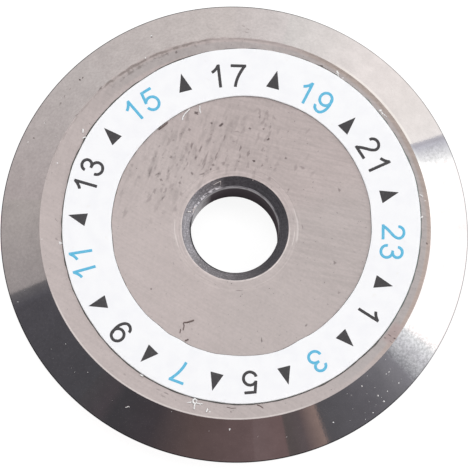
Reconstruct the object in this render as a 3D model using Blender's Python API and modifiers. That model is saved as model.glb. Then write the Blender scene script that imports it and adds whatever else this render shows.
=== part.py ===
"""Fiber cleaver blade: a round carbide disc ground to a V edge, with an index label on its top face.

Metres, +Z up. The disc lies flat: its axis is the Z axis and its back face is at Z = 0.
"""

import math

import bmesh
import bpy

MM = 0.001

# Carbide disc
OUTER_DIAMETER = 16.0 * MM
THICKNESS = 1.8 * MM
BEVEL_WIDTH = 1.315 * MM        # how far each ground bevel runs in from the edge
EDGE_LAND = 0.03 * MM           # height of the blunt strip left at the tip of the V
BORE_DIAMETER = 3.01 * MM       # slides on a 3 mm hub
BORE_CHAMFER_WIDTH = 0.32 * MM  # top side, measured along the face
BORE_CHAMFER_DEPTH = 0.23 * MM  # top side, measured down the bore
BORE_BREAK = 0.03 * MM          # sharp corner taken off at the back of the bore
CLAMP_MARK_WIDTH = 0.325 * MM   # ring round the chamfer that the clamp screw's head has pressed
CLAMP_MARK_DEPTH = 0.004 * MM   # how far that ring is pressed in
DISC_SEGMENTS = 180

# Index label, a ring of adhesive film
LABEL_MARGIN = 0.526 * MM       # bare face left outside the label, if it were centred
LABEL_WIDTH = 1.663 * MM        # from its outer edge to its inner edge
LABEL_THICKNESS = 0.1 * MM
ADHESIVE_THICKNESS = 0.01 * MM  # the soft layer between film and face, left open
LABEL_SHIFT_X = 0.213 * MM      # stuck on by hand, so a little off the axis
LABEL_SHIFT_Y = 0.070 * MM
LABEL_STRETCH = 0.057 * MM      # pulled oval as it was stuck on
LABEL_STRETCH_ANGLE = 70.0      # degrees from +X to the oval's long axis
LABEL_SEGMENTS = 120

# Finishes: colour, metallic, roughness
CARBIDE = ((0.47, 0.43, 0.42), 1.0, 0.32)
WHITE_FILM = ((0.93, 0.93, 0.95), 0.0, 0.45)

COLLECTION_NAME = "fiber_cleaver_blade"
SHARP_ANGLE = math.radians(20)
MERGE_DISTANCE = 0.0001 * MM


def clear_scene():
    """Removes whatever the file holds."""
    for item in list(bpy.data.objects):
        bpy.data.objects.remove(item)


def make_collection():
    """The collection that holds the blade's parts."""
    collection = bpy.data.collections.new(COLLECTION_NAME)
    bpy.context.scene.collection.children.link(collection)
    return collection


def make_material(name, finish):
    """A plain surface from a colour, a metallic value and a roughness."""
    colour, metallic, roughness = finish
    material = bpy.data.materials.new(name)
    material.use_nodes = True
    surface = material.node_tree.nodes["Principled BSDF"]
    surface.inputs["Base Color"].default_value = (*colour, 1.0)
    surface.inputs["Metallic"].default_value = metallic
    surface.inputs["Roughness"].default_value = roughness
    return material


def make_solid(shape, collection):
    """Replaces a shape that is still being worked out by one welded mesh, smooth between its corners."""
    bpy.context.view_layer.update()
    graph = bpy.context.evaluated_depsgraph_get()
    mesh = bpy.data.meshes.new_from_object(shape.evaluated_get(graph))
    weld = bmesh.new()
    weld.from_mesh(mesh)
    bmesh.ops.remove_doubles(weld, verts=weld.verts, dist=MERGE_DISTANCE)
    weld.to_mesh(mesh)
    weld.free()
    mesh.shade_smooth()
    mesh.set_sharp_from_angle(angle=SHARP_ANGLE)

    name = shape.name
    place = shape.matrix_world.copy()
    bpy.data.objects.remove(shape)
    solid = bpy.data.objects.new(name, mesh)
    collection.objects.link(solid)
    solid.matrix_world = place
    return solid


def label_outer_radius():
    """The label's mean outer radius, set in from the edge of the flat face."""
    return OUTER_DIAMETER / 2 - BEVEL_WIDTH - LABEL_MARGIN


def label_inner_radius():
    """The label's mean inner radius."""
    return label_outer_radius() - LABEL_WIDTH


def disc_section():
    """The disc's section as (radius, height) points.

    It runs out over the clamp mark and the top face, down the two bevels, in under the back face
    and up the bore.
    """
    outer = OUTER_DIAMETER / 2
    face = outer - BEVEL_WIDTH
    bore = BORE_DIAMETER / 2
    chamfer = bore + BORE_CHAMFER_WIDTH
    mark = chamfer + CLAMP_MARK_WIDTH
    edge = THICKNESS / 2
    return [
        (chamfer, THICKNESS - CLAMP_MARK_DEPTH),
        (mark, THICKNESS - CLAMP_MARK_DEPTH),
        (mark + CLAMP_MARK_DEPTH, THICKNESS),
        (face, THICKNESS),
        (outer, edge + EDGE_LAND / 2),
        (outer, edge - EDGE_LAND / 2),
        (face, 0.0),
        (bore + BORE_BREAK, 0.0),
        (bore, BORE_BREAK),
        (bore, THICKNESS - BORE_CHAMFER_DEPTH),
    ]


def make_disc(collection):
    """Turns the section about the Z axis."""
    section = disc_section()
    corners = [(radius, 0.0, height) for radius, height in section]
    sides = [(index, (index + 1) % len(section)) for index in range(len(section))]
    outline = bpy.data.meshes.new("disc_section")
    outline.from_pydata(corners, sides, [])
    outline.materials.append(make_material("carbide", CARBIDE))
    disc = bpy.data.objects.new("blade_disc", outline)
    collection.objects.link(disc)

    turn = disc.modifiers.new("turn", "SCREW")
    turn.axis = "Z"
    turn.angle = 2 * math.pi
    turn.steps = DISC_SEGMENTS
    turn.render_steps = DISC_SEGMENTS
    turn.use_merge_vertices = True
    turn.merge_threshold = MERGE_DISTANCE
    return make_solid(disc, collection)


def label_radius(mean_radius, angle):
    """The radius at an angle of a circle that is pulled oval."""
    from_long_axis = angle - math.radians(LABEL_STRETCH_ANGLE)
    return mean_radius + LABEL_STRETCH * math.cos(2 * from_long_axis)


def add_outline(curve, mean_radius):
    """Adds one closed oval outline to a flat curve."""
    spline = curve.splines.new("POLY")
    spline.points.add(LABEL_SEGMENTS - 1)
    for index, point in enumerate(spline.points):
        angle = 2 * math.pi * index / LABEL_SEGMENTS
        radius = label_radius(mean_radius, angle)
        point.co = (radius * math.cos(angle), radius * math.sin(angle), 0.0, 1.0)
    spline.use_cyclic_u = True


def make_label(collection):
    """A flat ring of film on the top face, a little off the axis."""
    curve = bpy.data.curves.new("label_outline", "CURVE")
    curve.dimensions = "2D"
    curve.fill_mode = "BOTH"
    curve.extrude = LABEL_THICKNESS / 2
    add_outline(curve, label_outer_radius())
    add_outline(curve, label_inner_radius())
    curve.materials.append(make_material("white_film", WHITE_FILM))
    label = bpy.data.objects.new("index_label", curve)
    collection.objects.link(label)
    middle_height = THICKNESS + ADHESIVE_THICKNESS + LABEL_THICKNESS / 2
    label.location = (LABEL_SHIFT_X, LABEL_SHIFT_Y, middle_height)
    return make_solid(label, collection)


def main():
    """Builds the blade."""
    clear_scene()
    collection = make_collection()
    make_disc(collection)
    make_label(collection)


main()
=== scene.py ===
"""Looks of the fiber cleaver blade: a ground carbide disc with an index label on its top face.

Metres, +Z up. Sizes below are in millimetres and are turned into metres as meshes are made.
Angles are in degrees, counted from +X towards +Y.
"""

import math

import bpy
import numpy as np
from mathutils import Matrix, Vector


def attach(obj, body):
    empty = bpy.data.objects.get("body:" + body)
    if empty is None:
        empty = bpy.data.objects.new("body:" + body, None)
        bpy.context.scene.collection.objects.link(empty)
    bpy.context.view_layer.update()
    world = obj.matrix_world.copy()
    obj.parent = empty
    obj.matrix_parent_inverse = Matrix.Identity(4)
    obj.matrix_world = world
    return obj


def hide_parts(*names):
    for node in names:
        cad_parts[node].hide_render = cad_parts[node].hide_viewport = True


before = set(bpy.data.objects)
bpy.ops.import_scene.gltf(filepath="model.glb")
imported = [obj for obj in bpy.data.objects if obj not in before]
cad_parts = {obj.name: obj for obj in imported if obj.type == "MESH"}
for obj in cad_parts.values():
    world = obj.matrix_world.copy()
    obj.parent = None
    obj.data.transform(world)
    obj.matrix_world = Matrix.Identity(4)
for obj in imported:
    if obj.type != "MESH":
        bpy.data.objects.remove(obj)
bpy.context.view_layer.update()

MM = 0.001


def node_points(node):
    """A CAD node's corner points in millimetres, as a (count, 3) array."""
    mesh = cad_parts[node].data
    flat = np.empty(3 * len(mesh.vertices), np.float32)
    mesh.vertices.foreach_get("co", flat)
    return flat.reshape(-1, 3).astype(float) / MM


# Sizes read from the CAD disc. Points closer than SAME are taken as level
SAME = 0.0005
DISC = node_points("blade_disc")
DISC_RADIUS = np.hypot(DISC[:, 0], DISC[:, 1])
DISC_HEIGHT = DISC[:, 2]
TOP = DISC_HEIGHT.max()
OUTER_RADIUS = DISC_RADIUS.max()
FACE_RADIUS = DISC_RADIUS[DISC_HEIGHT > TOP - SAME].max()
MARK_RADIUS = DISC_RADIUS[DISC_HEIGHT > TOP - SAME].min()
BORE_RADIUS = DISC_RADIUS.min()
LAND_LOW = DISC_HEIGHT[DISC_RADIUS > OUTER_RADIUS - SAME].min()
LAND_HIGH = DISC_HEIGHT[DISC_RADIUS > OUTER_RADIUS - SAME].max()
BORE_LOW = DISC_HEIGHT[DISC_RADIUS < BORE_RADIUS + SAME].min()
BORE_HIGH = DISC_HEIGHT[DISC_RADIUS < BORE_RADIUS + SAME].max()
BACK_BORE_RADIUS = DISC_RADIUS[DISC_HEIGHT < SAME].min()
NEAR_TOP = (DISC_HEIGHT > BORE_HIGH + SAME) & (DISC_HEIGHT < TOP - SAME) & (DISC_RADIUS < MARK_RADIUS)
CHAMFER_RADIUS = DISC_RADIUS[NEAR_TOP].min()
MARK_HEIGHT = DISC_HEIGHT[NEAR_TOP].max()
MARK_DEPTH = TOP - MARK_HEIGHT
BEVEL_ANGLE = math.atan2(TOP - LAND_HIGH, OUTER_RADIUS - FACE_RADIUS)

# Sizes read from the CAD label
LABEL = node_points("index_label")
LABEL_CENTRE = LABEL[:, :2].mean(0)
LABEL_REACH = np.hypot(*(LABEL[:, :2] - LABEL_CENTRE).T)
LABEL_TOP = LABEL[:, 2].max()
LABEL_OUTSIDE = LABEL_REACH > LABEL_REACH.mean()
LABEL_OUTER_RADIUS = LABEL_REACH[LABEL_OUTSIDE].mean()
LABEL_INNER_RADIUS = LABEL_REACH[~LABEL_OUTSIDE].mean()
LABEL_STRETCH = np.ptp(LABEL_REACH[LABEL_OUTSIDE]) / 2

# Fine form of the disc: how round its corners are, and how far they have chipped
TURN_STEPS = 900
CORNER_STEPS = 4
FACE_CORNER = 0.03
BORE_CORNER = 0.06
CHAMFER_CORNER = 0.02
MARK_CORNER = 0.01
BACK_CORNER = 0.02
LAND_CORNER = 0.014
CHIP_WIDTH = 0.045
CHIP_DEPTH = 0.014
BORE_CHIP_WIDTH = 0.03
BORE_CHIP_DEPTH = 0.02

# Fine form of the label. The film ends a little below the CAD label's top, which leaves room for the ink
STRETCH_ANGLE = 70.0
SQUARENESS = 0.015
SQUARE_ANGLE = -5.0
INK_ROOM = 0.006
FILM_TOP = LABEL_TOP - INK_ROOM
FILM_CORNER = 0.012
FILM_SIDE = 0.1
FILM_STEPS = 900
OUTLINE_WOBBLE = 0.006
OUTER_BEAD_WIDTH = 0.032
INNER_BEAD_WIDTH = 0.018
BEAD_HEIGHT = 0.022
BEAD_UNEVENNESS = 0.22
# How far ink and adhesive reach down into what they lie on
SINK = 0.002

# Print
INK_THICKNESS = 0.004
INK_STEP = 0.0004
PRINT_CENTRE = (0.006, -0.042)
FIGURE_HEIGHT = 0.80
BLACK_STROKE = 0.103
BLUE_STROKE = 0.099
TRIANGLE_HEIGHT = 0.64
TRIANGLE_BASE = 0.462

# The photograph's camera
VIEW_TILT = 12.98
VIEW_TURN = -99.42
VIEW_DISTANCE = 600.0
PIXELS_PER_MM = 29.236
FRAME_PIXELS = 470
FRAME_MIDDLE = 234.5
AXIS_PIXEL = (233.74, 233.53)
SENSOR_WIDTH = 36.0


def from_srgb(red, green, blue):
    """A colour written as screen values from 0 to 255, as the linear colour that a shader takes."""
    screen = np.array((red, green, blue)) / 255
    low = screen / 12.92
    high = ((screen + 0.055) / 1.055) ** 2.4
    return tuple(float(value) for value in np.where(screen <= 0.04045, low, high))


CARBIDE = from_srgb(190, 178, 176)
FACE = from_srgb(184, 174, 172)
FACE_LEFT = from_srgb(187, 176, 174)
FACE_UPPER = from_srgb(185, 173, 171)
FACE_BESIDE_LABEL = from_srgb(172, 166, 165)
FACE_OUTER_RIGHT = from_srgb(181, 166, 159)
FACE_UPPER_RIM = from_srgb(164, 152, 146)
FACE_CORNER_STAIN = from_srgb(174, 158, 156)
# Paler carbide, for real wear and for painted highlights
WORN_AND_HIGHLIT_CARBIDE = from_srgb(224, 216, 213)
# Painted highlight along the bevel's inner edge
CREAM_HIGHLIGHT = from_srgb(236, 224, 214)
# Painted shade along the bevel's outermost edge
OUTER_EDGE_SHADE = from_srgb(60, 58, 60)
# Painted shade in the chips of the crumbled rim
CHIP_SHADE = from_srgb(106, 97, 92)
# Painted shade of the pits' hollows
DARK_PIT_SHADE = from_srgb(70, 58, 58)
FURNACE_SKIN = from_srgb(88, 85, 89)
RUBBED_SKIN = from_srgb(134, 128, 131)
# Worn corner of the bore, painted paler as a painted highlight
WORN_CORNER_HIGHLIGHT = from_srgb(186, 182, 187)
# Scuffs on the chamfer, painted near white as a painted highlight of their scratches
SCUFFED_CORNER_AND_HIGHLIGHT = from_srgb(222, 216, 220)
BORE_SKIN = from_srgb(116, 107, 112)
# Painted sheen on the bore's wall
BORE_SHEEN = from_srgb(150, 146, 150)
# Painted shade on the corner of chamfer and bore
SHADED_CORNER = from_srgb(58, 56, 60)
FILM_WHITE = from_srgb(245, 245, 247)
FILM_SHADE = from_srgb(242, 242, 245)
FILM_SOIL = from_srgb(226, 218, 206)
BLACK_INK = from_srgb(62, 60, 62)
THIN_BLACK_INK = from_srgb(88, 86, 88)
BLUE_INK = from_srgb(93, 182, 218)
THIN_BLUE_INK = from_srgb(144, 205, 228)
# Soiled adhesive along the label's edges, which also stands for their shadow: painted shadow
GRIME_AND_SHADOW = from_srgb(88, 85, 81)
DARK_GRIME_AND_SHADOW = from_srgb(70, 70, 67)
THIN_GRIME_AND_SHADOW = from_srgb(112, 120, 118)
DUST_WHITE = from_srgb(252, 252, 252)
DUST_SHADE = from_srgb(222, 218, 217)
# Dark fibres, and the painted shadow under a lifted bit of the label
DARK_FIBRE_AND_SHADOW = from_srgb(98, 84, 82)
FIBRE_SHADE = from_srgb(120, 104, 100)


# Meshes

def lattice(rows, columns, wrap_rows=False, wrap_columns=False):
    """Four-sided faces over a grid of points; a wrapped side joins its last line to its first."""
    row = np.arange(rows if wrap_rows else rows - 1)
    column = np.arange(columns if wrap_columns else columns - 1)
    row, column = np.meshgrid(row, column, indexing="ij")
    next_row = (row + 1) % rows
    next_column = (column + 1) % columns
    corners = (row * columns + column, row * columns + next_column,
               next_row * columns + next_column, next_row * columns + column)
    return np.stack(corners, -1).reshape(-1, 4)


def ring_skin(sections):
    """A closed skin over sections (turn, section point, xyz); turn and section close on themselves."""
    turns, around = sections.shape[:2]
    return sections.reshape(-1, 3), [lattice(turns, around, True, True)]


def closed_tube(sections):
    """A closed skin over sections (row, ring point, xyz), with a fan of triangles over each end ring."""
    rows, around = sections.shape[:2]
    ends = np.stack([sections[0].mean(0), sections[-1].mean(0)])
    points = np.concatenate([sections.reshape(-1, 3), ends])
    here = np.arange(around)
    beside = (here + 1) % around
    last = (rows - 1) * around
    first_fan = np.stack([np.full(around, rows * around), beside, here], -1)
    last_fan = np.stack([np.full(around, rows * around + 1), here + last, beside + last], -1)
    return points, [lattice(rows, around, wrap_columns=True), first_fan, last_fan]


def signed_volume(points, faces):
    """The sum over all triangles of a . (b x c) of their corners: negative on an inside-out skin."""
    total = 0.0
    for group in faces:
        for corner in range(1, group.shape[1] - 1):
            a, b, c = points[group[:, 0]], points[group[:, corner]], points[group[:, corner + 1]]
            total += np.einsum("ij,ij->i", a, np.cross(b, c)).sum()
    return total


def facing_out(shape):
    """The same skin with its faces pointing outwards."""
    points, faces = shape
    if signed_volume(points - points.mean(0), faces) < 0:
        faces = [group[:, ::-1] for group in faces]
    return points, faces


def joined(shapes):
    """Several skins as one, still apart from each other."""
    points, faces, count = [], [], 0
    for shape_points, shape_faces in map(facing_out, shapes):
        points.append(shape_points)
        faces += [group + count for group in shape_faces]
        count += len(shape_points)
    return np.concatenate(points), faces


def add_object(name, data):
    """A new object in the scene."""
    made = bpy.data.objects.new(name, data)
    bpy.context.scene.collection.objects.link(made)
    return made


def make_piece(name, shape, materials, sharp=35.0):
    """A finished piece at the origin that moves with the blade, from a skin in millimetres."""
    points, faces = facing_out(shape)
    mesh = bpy.data.meshes.new(name)
    mesh.from_pydata((points * MM).tolist(), [], [face for group in faces for face in group.tolist()])
    for material in materials:
        mesh.materials.append(material)
    mesh.shade_smooth()
    mesh.set_sharp_from_angle(angle=math.radians(sharp))
    piece = add_object(name, mesh)
    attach(piece, "root")
    return piece


def full_turn(steps):
    """Evenly spaced angles in radians, once round."""
    return np.linspace(0, 2 * math.pi, steps, endpoint=False)


def waves(angles, seed, low, high):
    """A closed wavy line over angles in radians: a seeded sum of cosines of low to high turns."""
    draw = np.random.default_rng(seed)
    turns = np.arange(low, high + 1)
    heights = draw.normal(size=len(turns))
    starts = draw.uniform(0, 2 * math.pi, len(turns))
    line = (heights * np.cos(np.multiply.outer(angles, turns) + starts)).sum(-1)
    return line / np.sqrt((heights ** 2).sum() / 2)


def smooth_step(value, start, end):
    """Rises from 0 at start to 1 at end along a soft S."""
    share = np.clip((value - start) / (end - start), 0, 1)
    return share * share * (3 - 2 * share)


def sector_share(angles, start, end, soft):
    """1 inside the sector from start to end degrees, falling to 0 over soft degrees outside it."""
    middle = (start + end) / 2
    away = np.abs((np.degrees(angles) - middle + 180) % 360 - 180)
    return 1 - smooth_step(away, (end - start) / 2, (end - start) / 2 + soft)


# Disc

def rounded_corner(before, corner, after, radius):
    """Points on the arc of that radius which touches both sides of a corner of the section."""
    into = (before - corner) / np.linalg.norm(before - corner)
    out = (after - corner) / np.linalg.norm(after - corner)
    half = math.acos(np.clip(into @ out, -1, 1)) / 2
    setback = radius / math.tan(half)
    middle = corner + (into + out) / np.linalg.norm(into + out) * radius / math.sin(half)
    start = corner + into * setback - middle
    end = corner + out * setback - middle
    sweep = math.acos(np.clip(start @ end / radius ** 2, -1, 1))
    share = np.linspace(0, 1, CORNER_STEPS + 1)[:, None]
    return middle + (np.sin((1 - share) * sweep) * start + np.sin(share * sweep) * end) / math.sin(sweep)


def side_cuts(start, end):
    """Points along a straight side, close together near its ends, so that edge wear has points to move."""
    length = np.linalg.norm(end - start)
    near = np.array([0.03, 0.07, 0.14, 0.3])
    near = near[near < 0.4 * length] / length
    share = np.concatenate([near, 1 - near[::-1]])
    return start + (end - start) * share[:, None]


def disc_section():
    """The disc's section as rounded (radius, height) points, and the finish that starts at each point.

    Finish 0 is the lapped faces, 1 the ground bevels and 2 the chamfer and bore.
    """
    corners = [
        ((CHAMFER_RADIUS, MARK_HEIGHT), CHAMFER_CORNER, 0),
        ((MARK_RADIUS - MARK_DEPTH, MARK_HEIGHT), MARK_CORNER, 0),
        ((MARK_RADIUS, TOP), MARK_CORNER, 0),
        ((FACE_RADIUS, TOP), FACE_CORNER, 1),
        ((OUTER_RADIUS, LAND_HIGH), LAND_CORNER, 1),
        ((OUTER_RADIUS, LAND_LOW), LAND_CORNER, 1),
        ((FACE_RADIUS, 0.0), FACE_CORNER, 0),
        ((BACK_BORE_RADIUS, 0.0), BACK_CORNER, 2),
        ((BORE_RADIUS, BORE_LOW), BACK_CORNER, 2),
        ((BORE_RADIUS, BORE_HIGH), BORE_CORNER, 2),
    ]
    places = np.array([place for place, _, _ in corners])
    rounds = []
    for index, (_, radius, _) in enumerate(corners):
        before, after = places[index - 1], places[(index + 1) % len(corners)]
        rounds.append(rounded_corner(before, places[index], after, radius))
    points, finishes = [], []
    for index, (_, _, finish) in enumerate(corners):
        points.append(rounds[index])
        finishes += [corners[index - 1][2]] * CORNER_STEPS + [finish]
        cuts = side_cuts(rounds[index][-1], rounds[(index + 1) % len(corners)][0])
        points.append(cuts)
        finishes += [finish] * len(cuts)
    return np.concatenate(points), np.array(finishes)


def edge_chips(angles, seed, share):
    """How deep an edge has crumbled at each angle, from 0 to 1: the crests of a fine wavy line."""
    return np.clip(waves(angles, seed, 60, 420) * 0.5 + share, 0, 1)


def disc_skin():
    """The section turned about Z: x = r cos a, y = r sin a, z = h.

    Near the rim of the face, and near the corner of the chamfer and the bore, h drops by a chip depth
    times exp(-(distance / width)^2), where the chip depth is a wavy function of the angle.
    """
    section, finishes = disc_section()
    angles = full_turn(TURN_STEPS)
    radius = np.repeat(section[None, :, 0], TURN_STEPS, 0)
    height = np.repeat(section[None, :, 1], TURN_STEPS, 0)

    from_rim = np.hypot(section[:, 0] - FACE_RADIUS, section[:, 1] - TOP)
    worn = 0.06 + 0.25 * sector_share(angles, 40, 145, 12) + 0.69 * sector_share(angles, 96, 132, 9)
    rim_chips = edge_chips(angles, 11, 0.35) * worn
    height -= np.multiply.outer(rim_chips, CHIP_DEPTH * np.exp(-(from_rim / CHIP_WIDTH) ** 2))

    from_bore = np.hypot(section[:, 0] - BORE_RADIUS, section[:, 1] - BORE_HIGH)
    bore_chips = edge_chips(angles, 12, -0.2)
    height -= np.multiply.outer(bore_chips, BORE_CHIP_DEPTH * np.exp(-(from_bore / BORE_CHIP_WIDTH) ** 2))

    turned = (radius * np.cos(angles)[:, None], radius * np.sin(angles)[:, None], height)
    return ring_skin(np.stack(turned, -1)), finishes


def make_disc(lapped, ground, skin):
    """The carbide disc, which stands for its CAD node."""
    shape, finishes = disc_skin()
    disc = make_piece("disc", shape, (lapped, ground, skin), sharp=60.0)
    disc.data.polygons.foreach_set("material_index", np.tile(finishes, TURN_STEPS).astype(np.int32))
    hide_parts("blade_disc")
    return disc


# Label

# Slips of the knife that cut the label's edges: (angle, half width in degrees, how far outward)
INNER_SLIPS = ((79, 5, 0.02), (185.5, 6, -0.035), (242, 3.5, -0.042), (258, 4, 0.022), (284, 7, 0.026),
               (296.5, 5, -0.042), (343, 9, -0.028), (4, 5, -0.022), (231, 4, -0.03))
OUTER_SLIPS = ((17, 4, 0.028), (101, 5, 0.02), (160, 3, 0.02), (201, 5, 0.028), (215, 4, -0.018),
               (261, 5, -0.025), (310, 6, -0.02), (47, 5, 0.02), (123, 5, -0.022), (146, 12, 0.02),
               (321, 7, 0.018))


def cut_slips(angles, slips):
    """Where the knife left its line: the sum of distance * exp(-((angle - middle) / half width)^2)."""
    total = np.zeros(len(angles))
    for middle, half_width, distance in slips:
        away = (np.degrees(angles) - middle + 180) % 360 - 180
        total += distance * np.exp(-(away / half_width) ** 2)
    return total


def label_outline(angles, mean_radius):
    """The label's edge about its own centre: a circle pulled oval and a little square, with a fine wobble
    and the slips of the knife."""
    seed, slips = (21, INNER_SLIPS) if mean_radius == LABEL_INNER_RADIUS else (22, OUTER_SLIPS)
    oval = LABEL_STRETCH * np.cos(2 * (angles - math.radians(STRETCH_ANGLE)))
    square = SQUARENESS * np.cos(4 * (angles - math.radians(SQUARE_ANGLE)))
    wobble = OUTLINE_WOBBLE * waves(angles, seed, 5, 16)
    return mean_radius + oval + square + wobble + cut_slips(angles, slips)


def round_the_label(angles, radius, height):
    """A closed skin from sections at each angle about the label's centre: x = cx + r cos a,
    y = cy + r sin a, z = height."""
    x = LABEL_CENTRE[0] + radius * np.cos(angles)[:, None]
    y = LABEL_CENTRE[1] + radius * np.sin(angles)[:, None]
    return ring_skin(np.stack([x, y, np.broadcast_to(height, radius.shape)], -1))


def label_skin():
    """The film: across its width the radius runs from the inner edge to the outer one, and the height is
    FILM_TOP less a quarter round at each edge; under it the section closes along the flat face."""
    angles = full_turn(FILM_STEPS)
    inner = label_outline(angles, LABEL_INNER_RADIUS)[:, None]
    outer = label_outline(angles, LABEL_OUTER_RADIUS)[:, None]
    turn = np.linspace(0, math.pi / 2, 5)
    inset = np.concatenate([[0], FILM_CORNER * (1 - np.cos(turn)), [FILM_SIDE]])
    drop = np.concatenate([[FILM_TOP - TOP], FILM_CORNER * (1 - np.sin(turn)), [0]])
    middle = np.linspace(0, 1, 9)[1:-1]
    across = inner + FILM_SIDE + (outer - inner - 2 * FILM_SIDE) * middle
    radius = np.concatenate([inner + inset, across, (outer - inset)[:, ::-1]], 1)
    height = FILM_TOP - np.concatenate([drop, np.zeros(len(middle)), drop[::-1]])
    return round_the_label(angles, radius, height)


def make_label(material):
    """The white film, which stands for its CAD node."""
    label = make_piece("label_film", label_skin(), (material,), sharp=60.0)
    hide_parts("index_label")
    return label


def bead_skin(mean_radius, width, uneven):
    """The line of soiled adhesive along one edge, which also stands for the shadow there (painted shadow):
    a half round section carried round the label's outline, its width swelling and thinning with the angle.
    A negative width runs inwards from the edge."""
    angles = full_turn(FILM_STEPS)
    edge = label_outline(angles, mean_radius)
    swell = np.clip(1 + uneven, 0.25, 2)[:, None]
    turn = np.linspace(0, math.pi, 7)
    radius = edge[:, None] + width * swell * np.cos(turn)
    height = TOP - SINK + BEAD_HEIGHT * np.sqrt(swell) * np.sin(turn)
    return round_the_label(angles, radius, height)


def make_beads(material):
    """The soiled adhesive along the label's outer and inner edges, which also stands for the shadow along
    them (painted shadow). The outer line is wider above and on the lower right, and the inner one is wider
    below."""
    angles = full_turn(FILM_STEPS)
    uneven = BEAD_UNEVENNESS * waves(angles, 31, 6, 90) + 0.25 * sector_share(angles, 298, 376, 6)
    uneven += 0.65 * sector_share(angles, 108, 158, 10) + 0.35 * sector_share(angles, 22, 72, 8)
    outer = bead_skin(LABEL_OUTER_RADIUS, OUTER_BEAD_WIDTH, uneven)
    # the inner line wider below, where it shows past the film as soiled adhesive and painted shadow
    below = -0.95 * np.sin(angles) - 0.25 * np.cos(angles)
    uneven = BEAD_UNEVENNESS * waves(angles, 32, 6, 90) + below
    inner = bead_skin(LABEL_INNER_RADIUS, -INNER_BEAD_WIDTH, uneven)
    make_piece("adhesive_and_shadow_outer", outer, (material,))
    make_piece("adhesive_and_shadow_inner", inner, (material,))


# Print

def line(*ends):
    """A straight stroke, as points a hundredth of the figure height in unit."""
    start, end = np.array(ends, float).reshape(2, 2)
    return start + (end - start) * np.linspace(0, 1, 12)[:, None]


def bend(*handles):
    """A curved stroke with one handle between its ends: (1-t)^2 a + 2 t (1-t) b + t^2 c."""
    start, handle, end = np.array(handles, float).reshape(3, 2)
    t = np.linspace(0, 1, 20)[:, None]
    return (1 - t) ** 2 * start + 2 * t * (1 - t) * handle + t ** 2 * end


def arc(x, y, half_width, half_height, start, end):
    """A stroke along an ellipse from one angle to another."""
    turn = np.radians(np.linspace(start, end, max(8, int(abs(end - start) / 7))))
    return np.stack([x + half_width * np.cos(turn), y + half_height * np.sin(turn)], -1)


def run(*strokes):
    """Strokes that follow on from each other, as one."""
    return np.concatenate([strokes[0]] + [stroke[1:] for stroke in strokes[1:]])


# Plain sans-serif figures, in hundredths of their height, each in a cell that starts at x = 0
CELL = 77.7
FIGURES = {
    "1": [line(45.9, 0, 45.9, 101.5), bend(15.5, 69.0, 34, 77.5, 44.6, 96)],
    "2": [run(arc(38.4, 72.7, 25.5, 22.4, 186, 0), bend(63.9, 72.7, 63.5, 60, 46, 44),
              bend(46, 44, 18, 20, 11.8, 6)),
          line(4.3, 5.9, 70.3, 5.9)],
    "3": [run(arc(36.0, 74.2, 23.0, 20.9, 184, -90), line(36.0, 53.3, 30.5, 53.5)),
          run(line(30.5, 53.4, 36.0, 53.3), arc(38.3, 28.3, 26.4, 25.0, 90, -184))],
    "5": [arc(38.0, 32.1, 27.8, 28.8, -168, 154), line(13.6, 43.0, 22.4, 98.6), line(17.9, 92.8, 67.4, 92.8)],
    "7": [line(5.4, 92.8, 72.2, 92.8), bend(27.0, 0, 31.5, 46, 65.5, 92)],
    "9": [arc(38.2, 67.5, 26.1, 28.1, 0, 364),
          run(arc(38.0, 50.0, 27.5, 46.7, 40, -90), arc(38.0, 24.3, 24.6, 21.0, -90, -183))],
}

# The figures of the numbers 1, 3, 5 ... 23 by ink: each figure with its place angle and radius
BLACK_FIGURES = (
    ("1", 96.5, 5.375), ("7", 89.0, 5.375), ("2", 32.4, 5.405), ("1", 25.0, 5.405), ("1", 327.3, 5.425),
    ("5", 275.3, 5.400), ("9", 222.9, 5.355), ("1", 163.8, 5.345), ("3", 156.4, 5.345),
)
BLUE_FIGURES = (
    ("1", 63.2, 5.375), ("9", 55.8, 5.375), ("2", 359.1, 5.400), ("3", 351.7, 5.395), ("3", 301.1, 5.395),
    ("7", 249.2, 5.375), ("1", 196.5, 5.365), ("1", 189.9, 5.360), ("1", 130.3, 5.375), ("5", 122.9, 5.360),
)

# Each pointer's place angle and radius; its tip points along a multiple of 30 degrees, from 15 on
POINTERS = (
    (13.2, 5.316), (43.7, 5.272), (75.6, 5.314), (109.3, 5.314), (142.7, 5.280), (176.5, 5.320),
    (209.8, 5.314), (236.1, 5.280), (262.6, 5.306), (288.7, 5.306), (314.6, 5.314), (339.5, 5.306),
)
FIRST_TIP = 15.0
TIP_STEP = 30.0


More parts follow.
